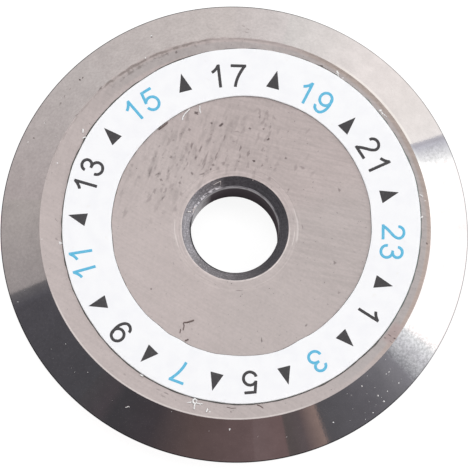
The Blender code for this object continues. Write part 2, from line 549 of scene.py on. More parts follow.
def ribbon(path, width, bottom, top):
    """A band of ink along a path: each section is a flat-topped closed ring across the path, and within
    half a stroke of each end the width falls as (1 - u^4)^(1/4), which leaves a nearly square end."""
    path = np.asarray(path)
    steps = np.linalg.norm(np.diff(path, axis=0), axis=1)
    along = np.concatenate([[0], np.cumsum(steps)])
    length = along[-1]
    blunt = width * 0.22
    near = blunt * (1 - np.cos(np.linspace(0, math.pi / 2, 6)))
    inside = np.linspace(blunt, length - blunt, max(6, int(length / (width * 0.3))))[1:-1]
    places = np.concatenate([near, inside, (length - near)[::-1]])
    centre = np.stack([np.interp(places, along, path[:, axis]) for axis in (0, 1)], -1)
    heading = np.gradient(centre, places, axis=0)
    heading /= np.linalg.norm(heading, axis=1, keepdims=True)
    across = np.stack([-heading[:, 1], heading[:, 0]], -1)
    to_end = np.clip(1 - np.minimum(places, length - places) / blunt, 0, 1)
    half = width / 2 * np.clip(1 - to_end ** 4, 0.004, 1) ** 0.25
    side = np.array([-1, -1, -0.93, 0.93, 1, 1])
    lift = np.array([0, 0.75, 1, 1, 0.75, 0])
    flat = centre[:, None] + across[:, None] * (half[:, None] * side)[..., None]
    rise = np.linspace(0, INK_STEP, len(places))[:, None]
    height = bottom + (top - bottom) * lift + rise
    return closed_tube(np.concatenate([flat, height[..., None]], -1))


def on_the_dial(points, place_angle, turn_angle, radius):
    """Points of the flat XY plane, turned by turn_angle and moved out to radius at place_angle."""
    turn, place = math.radians(turn_angle), math.radians(place_angle)
    spin = np.array([[math.cos(turn), math.sin(turn)], [-math.sin(turn), math.cos(turn)]])
    return points @ spin + np.array(PRINT_CENTRE) + radius * np.array([math.cos(place), math.sin(place)])


def figure_strokes(figure, place_angle, radius, width):
    """The strokes of one figure, which stands upright on its own radius."""
    shapes = []
    for order, stroke in enumerate(FIGURES[figure]):
        flat = (stroke - (CELL / 2, 50)) * FIGURE_HEIGHT / 100
        path = on_the_dial(flat, place_angle, place_angle - 90, radius)
        top = FILM_TOP + INK_THICKNESS - order * INK_STEP * 2
        shapes.append(ribbon(path, width, FILM_TOP - SINK, top))
    return shapes


def pointer_prism(place_angle, radius, tip_angle):
    """A triangle of ink: rings of the same outline, drawn in slightly where the ink thins out at the top."""
    outline = np.array([[2 * TRIANGLE_HEIGHT / 3, 0.0],
                        [-TRIANGLE_HEIGHT / 3, TRIANGLE_BASE / 2],
                        [-TRIANGLE_HEIGHT / 3, -TRIANGLE_BASE / 2]])
    share = np.linspace(0, 1, 7)[:, None]
    sides = [outline[i] + (outline[(i + 1) % 3] - outline[i]) * (0.02 + 0.96 * share) for i in range(3)]
    loop = on_the_dial(np.concatenate(sides), place_angle, tip_angle, radius)
    middle = loop.mean(0)
    rings = []
    for shrink, height in ((1, -SINK), (1, 0.6 * INK_THICKNESS), (0.985, INK_THICKNESS)):
        ring = middle + (loop - middle) * shrink
        rings.append(np.column_stack([ring, np.full(len(ring), FILM_TOP + height)]))
    return closed_tube(np.stack(rings))


def make_print(black, blue):
    """The numbers in their two inks, and the pointers between them."""
    for name, figures, width, ink in (("numbers_black", BLACK_FIGURES, BLACK_STROKE, black),
                                      ("numbers_blue", BLUE_FIGURES, BLUE_STROKE, blue)):
        strokes = [stroke for figure in figures for stroke in figure_strokes(*figure, width)]
        make_piece(name, joined(strokes), (ink,))
    pointers = [pointer_prism(*place, FIRST_TIP + TIP_STEP * index) for index, place in enumerate(POINTERS)]
    make_piece("pointers", joined(pointers), (black,))


# Dust, lint and pits

def surface_height(radius):
    """The height of the disc's top side at a radius: the chamfer, the flat face, then the bevel."""
    chamfer_slope = (MARK_HEIGHT - BORE_HIGH) / (CHAMFER_RADIUS - BORE_RADIUS)
    down_chamfer = np.clip(CHAMFER_RADIUS - radius, 0, None) * chamfer_slope
    down_bevel = np.clip(radius - FACE_RADIUS, 0, None) * math.tan(BEVEL_ANGLE)
    return TOP - down_chamfer - down_bevel


def on_surface(flat, lift):
    """Flat XY points raised to a lift above the disc's top side."""
    height = surface_height(np.hypot(flat[..., 0], flat[..., 1])) + lift
    return np.concatenate([flat, height[..., None]], -1)


def patch(x, y, length, width, direction, profile, seed):
    """A small ragged patch on the surface: an oval whose reach wobbles with the angle, drawn as rings of
    (spread, lift), each ring following the slope of the surface under it."""
    turns = full_turn(12)
    reach = 1 + 0.22 * waves(turns, seed, 2, 4)
    along, across = length / 2 * reach * np.cos(turns), width / 2 * reach * np.sin(turns)
    turn = math.radians(direction)
    oval = np.stack([along * math.cos(turn) - across * math.sin(turn),
                     along * math.sin(turn) + across * math.cos(turn)], -1)
    spread, lift = np.array(profile).T
    flat = np.array([x, y]) + spread[:, None, None] * oval
    return closed_tube(on_surface(flat, lift[:, None]))


def flake(radius, angle, size, seed):
    """A dust flake: a low uneven dome."""
    turn = math.radians(angle)
    dome = ((0.9, -0.1 * size), (1.0, 0.08 * size), (0.7, 0.25 * size), (0.3, 0.32 * size))
    return patch(radius * math.cos(turn), radius * math.sin(turn), size, 0.8 * size, angle * 7, dome, seed)


def hair(knots, thickness):
    """A fibre: a round section carried along a smooth line through its (x, y, lift) knots. The line at a
    point is the mean of the knots, weighted by a bell curve of their distance along the line."""
    knots = np.array(knots, float)
    points = on_surface(knots[:, :2], knots[:, 2] + 0.4 * thickness)
    share = np.linspace(0, 1, len(points))
    fine = np.linspace(0, 1, 8 * (len(points) - 1) + 1)
    weights = np.exp(-((fine[:, None] - share) * (len(points) - 1) / 0.5) ** 2)
    path = weights @ points / weights.sum(1, keepdims=True)
    heading = np.gradient(path, axis=0)
    heading /= np.linalg.norm(heading, axis=1, keepdims=True)
    sideways = np.cross(heading, (0, 0, 1))
    sideways /= np.linalg.norm(sideways, axis=1, keepdims=True)
    upward = np.cross(sideways, heading)
    turns = full_turn(6)
    taper = (thickness / 2) * (1 - 0.5 * np.abs(2 * fine - 1) ** 8)
    ring = np.cos(turns)[:, None] * sideways[:, None] + np.sin(turns)[:, None] * upward[:, None]
    return closed_tube(path[:, None] + taper[:, None, None] * ring)


# Specks of white dust, some of them along the label's outer edge standing for glints there
# (painted highlight): (radius, angle, size)
DUST_AND_GLINTS = (
    (6.48, 40.0, 0.11), (6.46, 38.9, 0.05), (6.57, 8.9, 0.035), (6.40, 4.0, 0.09), (6.46, 55.2, 0.05),
    (6.99, 268.5, 0.065), (7.20, 317.0, 0.05), (7.67, 317.1, 0.045), (6.96, 308.5, 0.05), (7.60, 313.4, 0.04),
    (7.51, 310.7, 0.055), (7.77, 311.1, 0.06), (7.84, 307.2, 0.04), (7.45, 296.9, 0.05), (6.70, 117.3, 0.05),
    (7.52, 150.0, 0.04), (7.73, 156.2, 0.05), (7.05, 215.0, 0.03), (7.10, 225.0, 0.03), (7.80, 198.5, 0.035),
    (6.62, 183.8, 0.035), (7.18, 316.0, 0.035), (6.28, 355.0, 0.04), (6.26, 6.0, 0.035), (6.27, 259.2, 0.09),
    (6.48, 262.3, 0.06), (4.21, 106.4, 0.05), (6.00, 185.5, 0.13), (6.50, 57.5, 0.12), (7.36, 43.0, 0.025),
    (6.48, 159.9, 0.06),
)
# Finer dust, scattered over sectors of the bevel: (from, to, count)
FINE_DUST = ((300, 324, 20), (190, 300, 10), (20, 190, 14))
FINE_DUST_SIZE = (0.012, 0.024)

# Fibres: (x, y, lift) knots and the thickness
WHITE_HAIRS = (
    (((-1.314, -6.078, 0.01), (-1.358, -6.148, 0), (-1.433, -6.125, 0), (-1.450, -6.041, 0.02),
      (-1.389, -5.981, 0.03), (-1.324, -6.026, 0.02), (-1.314, -6.078, 0.01)), 0.058),
    (((-1.382, -6.149, 0), (-1.389, -6.253, 0.01), (-1.413, -6.348, 0)), 0.058),
    (((-1.328, -6.131, 0), (-1.219, -6.158, 0.01), (-1.106, -6.150, 0)), 0.048),
    (((-1.450, -6.076, 0), (-1.542, -6.105, 0.01), (-1.645, -6.112, 0)), 0.036),
    (((-0.932, -6.323, 0), (-0.966, -6.372, 0.02), (-0.990, -6.442, 0)), 0.052),
    (((-1.558, 4.150, 0.06), (-1.654, 4.058, 0.04), (-1.750, 3.955, 0.02), (-1.794, 3.867, 0),
      (-1.808, 3.768, 0)), 0.046),
    (((-1.213, 4.273, 0.05), (-1.216, 4.171, 0.02), (-1.199, 4.041, 0)), 0.040),
    (((-5.211, 3.429, 0), (-5.212, 3.360, 0.01), (-5.211, 3.289, 0)), 0.058),
    (((-5.231, 3.085, 0), (-5.170, 3.131, 0.02), (-5.088, 3.139, 0.01)), 0.040),
    (((3.477, 5.545, 0), (3.492, 5.510, 0.01), (3.510, 5.461, 0)), 0.058),
    (((3.505, 5.470, 0), (3.520, 5.410, 0), (3.535, 5.350, 0)), 0.026),
    (((6.310, 1.240, 0), (6.365, 1.195, 0.01), (6.420, 1.150, 0)), 0.042),
    (((4.975, 4.150, 0), (5.060, 4.060, 0), (5.140, 3.990, 0.01), (5.200, 3.940, 0)), 0.030),
    (((-2.884, 6.826, 0), (-2.860, 6.836, 0.01), (-2.836, 6.846, 0)), 0.056),
    (((-3.250, -5.152, 0.02), (-3.200, -5.186, 0.03), (-3.140, -5.212, 0.02)), 0.060),
    (((-3.735, -6.210, 0), (-3.695, -6.215, 0.01), (-3.640, -6.190, 0), (-3.600, -6.205, 0)), 0.026),
)
DARK_HAIRS_AND_SHADOW = (
    (((-1.404, -3.231, 0), (-1.510, -3.270, 0.01), (-1.646, -3.313, 0), (-1.773, -3.314, 0)), 0.050),
    (((-1.773, -3.325, 0), (-1.745, -3.436, 0), (-1.779, -3.594, 0)), 0.034),
    (((-1.861, -3.542, 0), (-1.875, -3.610, 0), (-1.888, -3.686, 0)), 0.034),
    (((-1.595, -3.900, 0), (-1.655, -3.930, 0), (-1.718, -3.957, 0)), 0.048),
    (((0.742, -6.173, 0), (0.862, -6.210, 0), (0.957, -6.283, 0)), 0.032),
    (((-0.298, -6.251, 0), (-0.127, -6.295, 0), (0.043, -6.283, 0)), 0.020),
    # this strand stands for the shadow under a lifted bit of the label's inner edge: painted shadow
    (((-2.625, 3.428, 0), (-2.472, 3.548, 0.02), (-2.308, 3.687, 0.01)), 0.050),
)
# Bright chipped edges in the chamfer, drawn pale to stand for their glints: painted highlight
CHIP_GLINTS = (
    (((-1.636, 0.565, 0), (-1.575, 0.580, 0), (-1.514, 0.591, 0)), 0.042),
    (((-1.414, 0.717, 0), (-1.392, 0.674, 0)), 0.042),
    (((-1.330, 0.800, 0), (-1.395, 0.690, 0), (-1.450, 0.560, 0)), 0.034),
    (((-0.740, 1.528, 0), (-0.621, 1.597, 0), (-0.491, 1.662, 0), (-0.498, 1.543, 0)), 0.024),
)

# The larger pits: (x, y, length, width, direction, depth of tone)
PITS = (
    (-1.03, 2.41, 0.71, 0.10, 69, 0.35), (-0.48, 3.62, 0.20, 0.14, 47, 0.85),
    (-1.19, 2.77, 0.39, 0.08, 69, 0.50), (-1.49, 2.89, 0.32, 0.10, 77, 0.50),
    (-0.79, 3.67, 0.16, 0.13, 162, 0.70), (-0.65, 2.53, 0.37, 0.08, 69, 0.45),
    (-1.33, 4.03, 0.21, 0.14, 173, 0.80), (0.9, -3.91, 0.21, 0.07, 94, 0.60),
    (1.13, 3.13, 0.14, 0.11, 60, 0.80), (3.4, -1.18, 0.15, 0.13, 113, 0.50),
    (-1.12, 1.89, 0.30, 0.08, 17, 0.50), (3.56, 1.37, 0.18, 0.10, 134, 0.45),
    (0.18, 2.81, 0.25, 0.08, 75, 0.55), (0.12, -2.18, 0.37, 0.05, 3, 0.40),
    (-2.47, 1.04, 0.28, 0.10, 45, 0.30), (0.43, 2.63, 0.28, 0.07, 73, 0.40),
    (1.17, 1.75, 0.21, 0.14, 135, 0.28), (-2.65, 1.88, 0.32, 0.07, 28, 0.35),
    (2.3, 2.14, 0.22, 0.13, 170, 0.35), (0.64, 2.36, 0.11, 0.11, 66, 0.95),
    (0.84, 3.92, 0.18, 0.08, 83, 0.42), (-2.76, 1.3, 0.23, 0.11, 56, 0.30),
    (-1.57, 3.44, 0.13, 0.13, 13, 0.50), (-1.35, 2.46, 0.23, 0.08, 56, 0.35),
    (-0.4, 2.28, 0.16, 0.13, 4, 0.38), (-1.48, 1.91, 0.12, 0.11, 59, 0.52),
    (-0.76, 2.21, 0.14, 0.11, 11, 0.40), (0.5, 3.5, 0.12, 0.10, 150, 0.65),
    (1.73, 2.47, 0.10, 0.10, 5, 0.60), (-0.84, 2.06, 0.13, 0.08, 85, 0.62),
    (-2.54, 1.68, 0.12, 0.10, 67, 0.55), (2.42, -3.38, 0.12, 0.11, 88, 0.50),
    (-2.39, 1.28, 0.18, 0.10, 48, 0.30), (-1.9, 1.58, 0.13, 0.10, 85, 0.42),
    (-2.2, 2.48, 0.12, 0.11, 36, 0.42), (0.92, 2.21, 0.12, 0.10, 82, 0.42),
    (0.97, 3.49, 0.10, 0.10, 14, 0.55), (2.3, 0.07, 0.25, 0.04, 104, 0.35),
    (3.54, -2.23, 0.12, 0.11, 34, 0.32), (1.82, 1.36, 0.16, 0.07, 68, 0.38),
    (-2.87, -2.15, 0.10, 0.10, 93, 0.55), (-0.36, 3.21, 0.12, 0.08, 78, 0.40),
    (-5.305, 5.287, 0.09, 0.08, 60, 1.00), (-5.206, 5.355, 0.08, 0.07, 60, 0.80),
    (-6.873, 3.245, 0.08, 0.06, 40, 0.85), (-5.965, 4.443, 0.12, 0.09, 60, 0.40),
    (-5.829, 4.7, 0.13, 0.05, 80, 0.35), (-5.64, 4.96, 0.11, 0.05, 60, 0.30),
    (-5.42, 3.93, 0.16, 0.06, 40, 0.40), (-4.62, 4.86, 0.22, 0.08, 50, 0.45),
    (0.45, 7.05, 0.16, 0.03, 155, 0.40), (0.3, 7.18, 0.14, 0.03, 150, 0.35),
    (0.38, 6.93, 0.20, 0.03, 165, 0.40), (2.955, 5.713, 0.12, 0.11, 30, 1.00),
    (-0.144, -6.417, 0.08, 0.08, 0, 0.45), (6.55, -0.48, 0.10, 0.09, 80, 0.75),
    (-2.02, 6.16, 0.14, 0.10, 20, 0.60), (-2.35, 6.1, 0.20, 0.07, 25, 0.45),
    (-6.11, -0.43, 0.16, 0.08, 130, 0.32), (-2.75, 5.93, 0.14, 0.06, 25, 0.35),
    (5.274, -3.703, 0.15, 0.05, 150, 0.75), (5.44, -3.806, 0.14, 0.06, 160, 0.85),
    (5.113, -3.792, 0.10, 0.06, 150, 0.60), (5.318, -3.926, 0.17, 0.04, 145, 0.55),
    (5.439, -3.57, 0.08, 0.06, 0, 0.35), (-3.77, -5.14, 0.12, 0.08, 120, 0.25),
    (-2.63, -5.66, 0.20, 0.05, 155, 0.32), (-2.35, -5.79, 0.22, 0.06, 155, 0.48),
    (-2.46, -5.89, 0.24, 0.07, 155, 0.28), (-1.07, 2.19, 0.34, 0.08, 72, 0.36),
    (-1.35, 2.47, 0.29, 0.10, 70, 0.36), (-1.58, 2.63, 0.17, 0.10, 70, 0.30),
    (-1.64, 2.23, 0.17, 0.09, 66, 0.34), (-1.74, 2.07, 0.15, 0.08, 66, 0.34),
    (-0.66, 2.47, 0.16, 0.10, 75, 0.42), (-0.55, 2.73, 0.24, 0.07, 72, 0.24),
    (-0.37, 3.15, 0.32, 0.08, 72, 0.26), (0.07, 3.39, 0.09, 0.19, 80, 0.30),
    (-0.05, 3.04, 0.16, 0.08, 155, 0.28), (0.16, 2.52, 0.23, 0.08, 80, 0.34),
    (0.46, 2.62, 0.31, 0.08, 75, 0.40), (-0.75, 2.21, 0.17, 0.09, 175, 0.32),
    (-0.41, 2.25, 0.11, 0.12, 0, 0.28), (-1.47, 1.89, 0.11, 0.10, 60, 0.42),
    (-1.84, 1.76, 0.11, 0.08, 70, 0.38), (-1.89, 1.57, 0.11, 0.10, 70, 0.38),
    (-2.51, 1.66, 0.08, 0.08, 60, 0.48), (-2.48, 1.51, 0.07, 0.08, 60, 0.30),
    (-2.19, 2.47, 0.11, 0.13, 40, 0.40), (-2.08, 2.6, 0.07, 0.07, 40, 0.26),
    (-2.12, 3.07, 0.16, 0.08, 35, 0.30), (-2.17, 3.39, 0.19, 0.08, 72, 0.24),
    (-2.6, 2.85, 0.09, 0.09, 60, 0.28), (-2.62, 1.88, 0.26, 0.10, 22, 0.30),
    (-2.76, 1.26, 0.22, 0.12, 60, 0.32), (-2.37, 1.33, 0.23, 0.10, 75, 0.30),
    (-2.48, 1.02, 0.23, 0.10, 65, 0.26), (-2.73, 2.1, 0.23, 0.10, 68, 0.24),
    (-1.99, 2.2, 0.21, 0.08, 66, 0.26), (-1.87, 2.37, 0.11, 0.08, 60, 0.28),
    (0.0, 2.07, 0.22, 0.08, 78, 0.24), (-0.32, 2.41, 0.23, 0.08, 76, 0.20),
    (-0.75, 3.0, 0.10, 0.10, 60, 0.24), (-2.47, 2.57, 0.19, 0.08, 60, 0.22),
    (-1.67, 2.39, 0.14, 0.08, 66, 0.22),
)
# The small pits that the lap left: how many, how their rows lie, and the radii between which they are kept
SMALL_PITS = 190
PIT_ROWS_EACH_SIDE = 13
PIT_ROW_SPACING = 0.31
PIT_ROW_SPREAD = 0.03
PIT_ROW_REACH = 4.4
PIT_ROW_DIRECTION = 71.0
PIT_FIELD = (2.0, 4.25)
# Their ranges of width, of length over width and of depth of tone, and how far they turn from the row
SMALL_PIT_WIDTH = (0.09, 0.17)
SMALL_PIT_STRETCH = (1.2, 2.8)
SMALL_PIT_DEPTH = (0.08, 0.26)
SMALL_PIT_TURN = 8
PIT_PROFILE = ((0.98, -0.002), (1.0, 0.0004), (0.8, 0.0009), (0.55, 0.0013), (0.25, 0.0016))
PIT_FADE = (0.0, 0.0, 0.35, 0.85, 1.0)


def small_pits():
    """Small seeded pits in rows over the upper half of the face inside the label, in the form of PITS."""
    draw = np.random.default_rng(41)
    tries = SMALL_PITS * 4
    turn = math.radians(PIT_ROW_DIRECTION)
    row = draw.integers(-PIT_ROWS_EACH_SIDE, PIT_ROWS_EACH_SIDE + 1, tries) * PIT_ROW_SPACING
    row = row + draw.normal(0, PIT_ROW_SPREAD, tries)
    along = draw.uniform(-PIT_ROW_REACH, PIT_ROW_REACH, tries)
    x = along * math.cos(turn) - row * math.sin(turn)
    y = along * math.sin(turn) + row * math.cos(turn)
    radius, angle = np.hypot(x, y), np.arctan2(y, x)
    likely = np.clip(sector_share(angle, 80, 150, 30) + 0.25 * sector_share(angle, 40, 80, 20), 0, 1)
    keep = (radius > PIT_FIELD[0]) & (radius < PIT_FIELD[1]) & (draw.uniform(size=tries) < likely)
    width = draw.uniform(*SMALL_PIT_WIDTH, tries)
    length = width * draw.uniform(*SMALL_PIT_STRETCH, tries)
    direction = PIT_ROW_DIRECTION + draw.normal(0, SMALL_PIT_TURN, tries)
    depth = draw.uniform(*SMALL_PIT_DEPTH, tries)
    return np.stack([x, y, length, width, direction, depth], -1)[keep][:SMALL_PITS]


def scattered_dust():
    """Fine seeded dust on the bevel, in the form of DUST_AND_GLINTS."""
    draw = np.random.default_rng(42)
    specks = []
    for start, end, count in FINE_DUST:
        radius = draw.uniform(FACE_RADIUS + 0.05, OUTER_RADIUS - 0.1, count)
        specks.append(np.stack([radius, draw.uniform(start, end, count),
                                draw.uniform(*FINE_DUST_SIZE, count)], -1))
    return np.concatenate(specks)


def make_dust(dust, fibre, glint):
    """The white specks and hairs, the dark fibres and the bright chips that lie on the blade. Some specks
    and the chips also stand for glints (painted highlight), and one dark strand for a shadow (painted
    shadow).
    """
    specks = np.concatenate([DUST_AND_GLINTS, scattered_dust()])
    flakes = [flake(*speck, seed=100 + index) for index, speck in enumerate(specks)]
    make_piece("dust_and_glint_specks", joined(flakes), (dust,))
    for name, strands, material, slot in (("white_lint", WHITE_HAIRS, dust, "white_film"),
                                          ("dark_lint_and_shadow", DARK_HAIRS_AND_SHADOW, fibre, "carbide"),
                                          ("chamfer_chip_glints", CHIP_GLINTS, glint, "carbide")):
        make_piece(name, joined([hair(*strand) for strand in strands]), (material,))


def make_pits(material):
    """The pits, drawn flush with the face and darkened as painted shade of their hollows. Each one's depth
    of tone is kept on its points.
    """
    rows = np.concatenate([PITS, small_pits()])
    shapes = [patch(*row[:5], PIT_PROFILE, seed=500 + index) for index, row in enumerate(rows)]
    pits = make_piece("lapping_pits", joined(shapes), (material,))
    around = (len(shapes[0][0]) - 2) // len(PIT_FADE)
    fade = np.concatenate([np.repeat(PIT_FADE, around), (0.0, 1.0)])
    tone = pits.data.attributes.new("depth", "FLOAT", "POINT")
    tone.data.foreach_set("value", np.multiply.outer(rows[:, 5], fade).ravel().astype(np.float32))


# Shader wiring

class Wiring:
    """Adds nodes to one tree. A socket is fed by a number, a colour or another node's output."""

    def __init__(self, tree):
        self.tree = tree

    def feed(self, socket, value):
        """Links an output into a socket, or sets the socket to a plain value."""
        if isinstance(value, bpy.types.NodeSocket):
            self.tree.links.new(value, socket)
        else:
            socket.default_value = value

    def node(self, kind, feeds=None, **settings):
        """A node with its settings, and the inputs named or numbered in feeds."""
        made = self.tree.nodes.new(kind)
        for name, value in settings.items():
            setattr(made, name, value)
        for name, value in (feeds or {}).items():
            self.feed(made.inputs[name], value)
        return made

    def maths(self, operation, *values):
        """One number worked out from up to three."""
        return self.node("ShaderNodeMath", dict(enumerate(values)), operation=operation).outputs[0]

    def group(self, tree, feeds=None):
        """A placed node group."""
        made = self.tree.nodes.new("ShaderNodeGroup")
        made.node_tree = tree
        for name, value in (feeds or {}).items():
            self.feed(made.inputs[name], value)
        return made

    def ramp(self, value, low, high, to_low=0.0, to_high=1.0):
        """A number carried from one range to another along a soft S."""
        feeds = {"Value": value, "From Min": low, "From Max": high, "To Min": to_low, "To Max": to_high}
        return self.node("ShaderNodeMapRange", feeds, interpolation_type="SMOOTHSTEP").outputs["Result"]

    def blend(self, share, first, second, kind="MIX"):
        """A colour between two, by a share from 0 to 1."""
        made = self.node("ShaderNodeMix", data_type="RGBA", blend_type=kind)
        self.feed(made.inputs[0], share)
        self.feed(made.inputs[6], first)
        self.feed(made.inputs[7], second)
        return made.outputs[2]

    def shade(self, tint, value, low, high):
        """A colour times a factor that runs from low to high as a value runs from 0 to 1."""
        factor = self.maths("MULTIPLY_ADD", value, high - low, low)
        grey = self.node("ShaderNodeCombineXYZ", {0: factor, 1: factor, 2: factor}).outputs[0]
        return self.blend(1.0, tint, grey, "MULTIPLY")

    def noise(self, place, scale, detail=2.0, roughness=0.5):
        """A cloudy value round 0.5."""
        feeds = {"Vector": place, "Scale": scale, "Detail": detail, "Roughness": roughness}
        return self.node("ShaderNodeTexNoise", feeds).outputs[0]


def new_group(name, inputs, outputs):
    """An empty shader group: inputs are (name, kind, value) and outputs (name, kind)."""
    tree = bpy.data.node_groups.new(name, "ShaderNodeTree")
    for label, kind, value in inputs:
        socket = tree.interface.new_socket(label, in_out="INPUT", socket_type="NodeSocket" + kind)
        socket.default_value = value
    for label, kind in outputs:
        tree.interface.new_socket(label, in_out="OUTPUT", socket_type="NodeSocket" + kind)
    wiring = Wiring(tree)
    given = tree.nodes.new("NodeGroupInput").outputs
    result = tree.nodes.new("NodeGroupOutput").inputs
    return tree, wiring, given, result


def place_group():
    """Where a point lies on the disc: its place, radius and angle, in millimetres and degrees."""
    outputs = (("Place", "Vector"), ("Radius", "Float"), ("Angle", "Float"))
    tree, wiring, _, result = new_group("place_on_disc", (), outputs)
    coordinates = wiring.node("ShaderNodeTexCoord").outputs["Object"]
    place = wiring.node("ShaderNodeVectorMath", {0: coordinates, "Scale": 1 / MM},
                        operation="SCALE").outputs[0]
    parts = wiring.node("ShaderNodeSeparateXYZ", {0: place}).outputs
    squares = wiring.maths("ADD", wiring.maths("POWER", parts[0], 2.0), wiring.maths("POWER", parts[1], 2.0))
    turn = wiring.maths("DEGREES", wiring.maths("ARCTAN2", parts[1], parts[0]))
    wiring.feed(result["Place"], place)
    wiring.feed(result["Radius"], wiring.maths("SQRT", squares))
    wiring.feed(result["Angle"], turn)
    return tree


def fall_off(wiring, away, half_width, soft):
    """1 up to a half width away from the middle, falling to 0 over a soft edge outside it."""
    past = wiring.maths("DIVIDE", wiring.maths("SUBTRACT", away, half_width), soft)
    return wiring.ramp(past, 0.0, 1.0, 1.0, 0.0)


def within_sector(wiring, angle, middle, half_width, soft):
    """1 in a sector round a middle angle, 0 elsewhere."""
    away = wiring.maths("WRAP", wiring.maths("SUBTRACT", angle, middle), 180.0, -180.0)
    return fall_off(wiring, wiring.maths("ABSOLUTE", away), half_width, soft)


def within_ring(wiring, radius, middle, half_width, soft):
    """1 in a ring round a middle radius, 0 elsewhere."""
    away = wiring.maths("ABSOLUTE", wiring.maths("SUBTRACT", radius, middle))
    return fall_off(wiring, away, half_width, soft)


def sector_group():
    """A sector, given as its middle angle, half width and soft edge."""
    inputs = (("Angle", "Float", 0.0), ("Middle", "Float", 0.0), ("Half Width", "Float", 10.0),
              ("Soft", "Float", 5.0))
    tree, wiring, given, result = new_group("sector", inputs, (("Share", "Float"),))
    share = within_sector(wiring, given["Angle"], given["Middle"], given["Half Width"], given["Soft"])
    wiring.feed(result["Share"], share)
    return tree


def ring_group():
    """A ring, given as its middle radius, half width and soft edge."""
    inputs = (("Radius", "Float", 0.0), ("Middle", "Float", 1.0), ("Half Width", "Float", 0.1),
              ("Soft", "Float", 0.05))
    tree, wiring, given, result = new_group("ring", inputs, (("Share", "Float"),))
    share = within_ring(wiring, given["Radius"], given["Middle"], given["Half Width"], given["Soft"])
    wiring.feed(result["Share"], share)
    return tree


def lines_group():
    """Fine scratches that run one way: a cloud drawn out along the way they run."""
    inputs = (("Place", "Vector", (0, 0, 0)), ("Turn", "Float", 0.0), ("Across", "Float", 12.0),
              ("Along", "Float", 0.3), ("Low", "Float", 0.4), ("High", "Float", 0.6))
    tree, wiring, given, result = new_group("scratch_lines", inputs, (("Lines", "Float"),))
    turned = wiring.node("ShaderNodeVectorRotate", {"Vector": given["Place"], "Angle": given["Turn"]},
                         rotation_type="Z_AXIS").outputs[0]
    scale = wiring.node("ShaderNodeCombineXYZ", {0: given["Along"], 1: given["Across"], 2: 0.0}).outputs[0]
    stretched = wiring.node("ShaderNodeVectorMath", {0: turned, 1: scale}, operation="MULTIPLY").outputs[0]
    cloud = wiring.noise(stretched, 1.0, 3.0, 0.6)
    wiring.feed(result["Lines"], wiring.ramp(cloud, given["Low"], given["High"]))
    return tree


def rings_group():
    """Fine scratches that run round the bore: a cloud drawn out along the turn."""
    inputs = (("Place", "Vector", (0, 0, 0)), ("Radius", "Float", 1.0), ("Across", "Float", 14.0),
              ("Low", "Float", 0.4), ("High", "Float", 0.65))
    tree, wiring, given, result = new_group("turning_lines", inputs, (("Lines", "Float"),))
    parts = wiring.node("ShaderNodeSeparateXYZ", {0: given["Place"]}).outputs
    cosine = wiring.maths("DIVIDE", parts[0], given["Radius"])
    sine = wiring.maths("DIVIDE", parts[1], given["Radius"])
    across = wiring.maths("MULTIPLY", given["Radius"], given["Across"])
    polar = wiring.node("ShaderNodeCombineXYZ", {0: cosine, 1: sine, 2: across}).outputs[0]
    cloud = wiring.noise(polar, 1.6, 2.0)
    wiring.feed(result["Lines"], wiring.ramp(cloud, given["Low"], given["High"]))
    return tree


# The crumbled rim's weak line, strong line and strip of flakes, dark as painted shade in the chips: sector
# and ring
RIM_ARCS = (
    ((98.0, 54.0, 14.0), (FACE_RADIUS - 0.035, 0.006, 0.045)),
    ((116.0, 11.0, 10.0), (FACE_RADIUS - 0.035, 0.012, 0.05)),
    ((115.0, 11.0, 10.0), (FACE_RADIUS - 0.125, 0.05, 0.08)),
)


def rim_group():
    """How dark the rim of the face is where it has crumbled, as painted shade in the chips: a wavering
    line, and flakes beside it.
    """
    inputs = (("Place", "Vector", (0, 0, 0)), ("Radius", "Float", 1.0), ("Angle", "Float", 0.0),
              ("Darkness", "Float", 0.56))
    tree, wiring, given, result = new_group("crumbled_rim_shade", inputs, (("Share", "Float"),))
    waver = wiring.noise(given["Place"], 1.7, 3.0, 0.6)
    radius = wiring.maths("ADD", given["Radius"], wiring.maths("MULTIPLY_ADD", waver, 0.20, -0.10))
    weak, strong, strip = [
        wiring.maths("MULTIPLY", within_sector(wiring, given["Angle"], *sector),
                     within_ring(wiring, radius, *ring))
        for sector, ring in RIM_ARCS
    ]
    broken = wiring.ramp(wiring.noise(given["Place"], 3.2, 3.0, 0.6), 0.38, 0.58, 0.25, 1.0)
    line = wiring.maths("MULTIPLY", wiring.maths("MULTIPLY_ADD", weak, 0.5, strong), broken)
    flakes = wiring.ramp(wiring.noise(given["Place"], 4.6, 3.0, 0.65), 0.49, 0.64, 0.0, 0.9)
    share = wiring.maths("MINIMUM", wiring.maths("MULTIPLY_ADD", flakes, strip, line), 1.0)
    wiring.feed(result["Share"], wiring.maths("MULTIPLY", share, given["Darkness"]))
    return tree


def new_material(name):
    """A material with its wiring and its main shader."""
    material = bpy.data.materials.new(name)
    material.use_nodes = True
    return material, Wiring(material.node_tree), material.node_tree.nodes["Principled BSDF"]


def colour(value):
    """A linear colour with full opacity."""
    return np.array((*value, 1.0))


def scratch_place(wiring, place, turn, across, along):
    """The place turned to a direction in degrees and stretched along it."""
    turned = wiring.node("ShaderNodeVectorRotate", {"Vector": place["Place"], "Angle": math.radians(-turn)},
                         rotation_type="Z_AXIS").outputs[0]
    return wiring.node("ShaderNodeVectorMath", {0: turned, 1: (along, across, 0.0)},
                       operation="MULTIPLY").outputs[0]


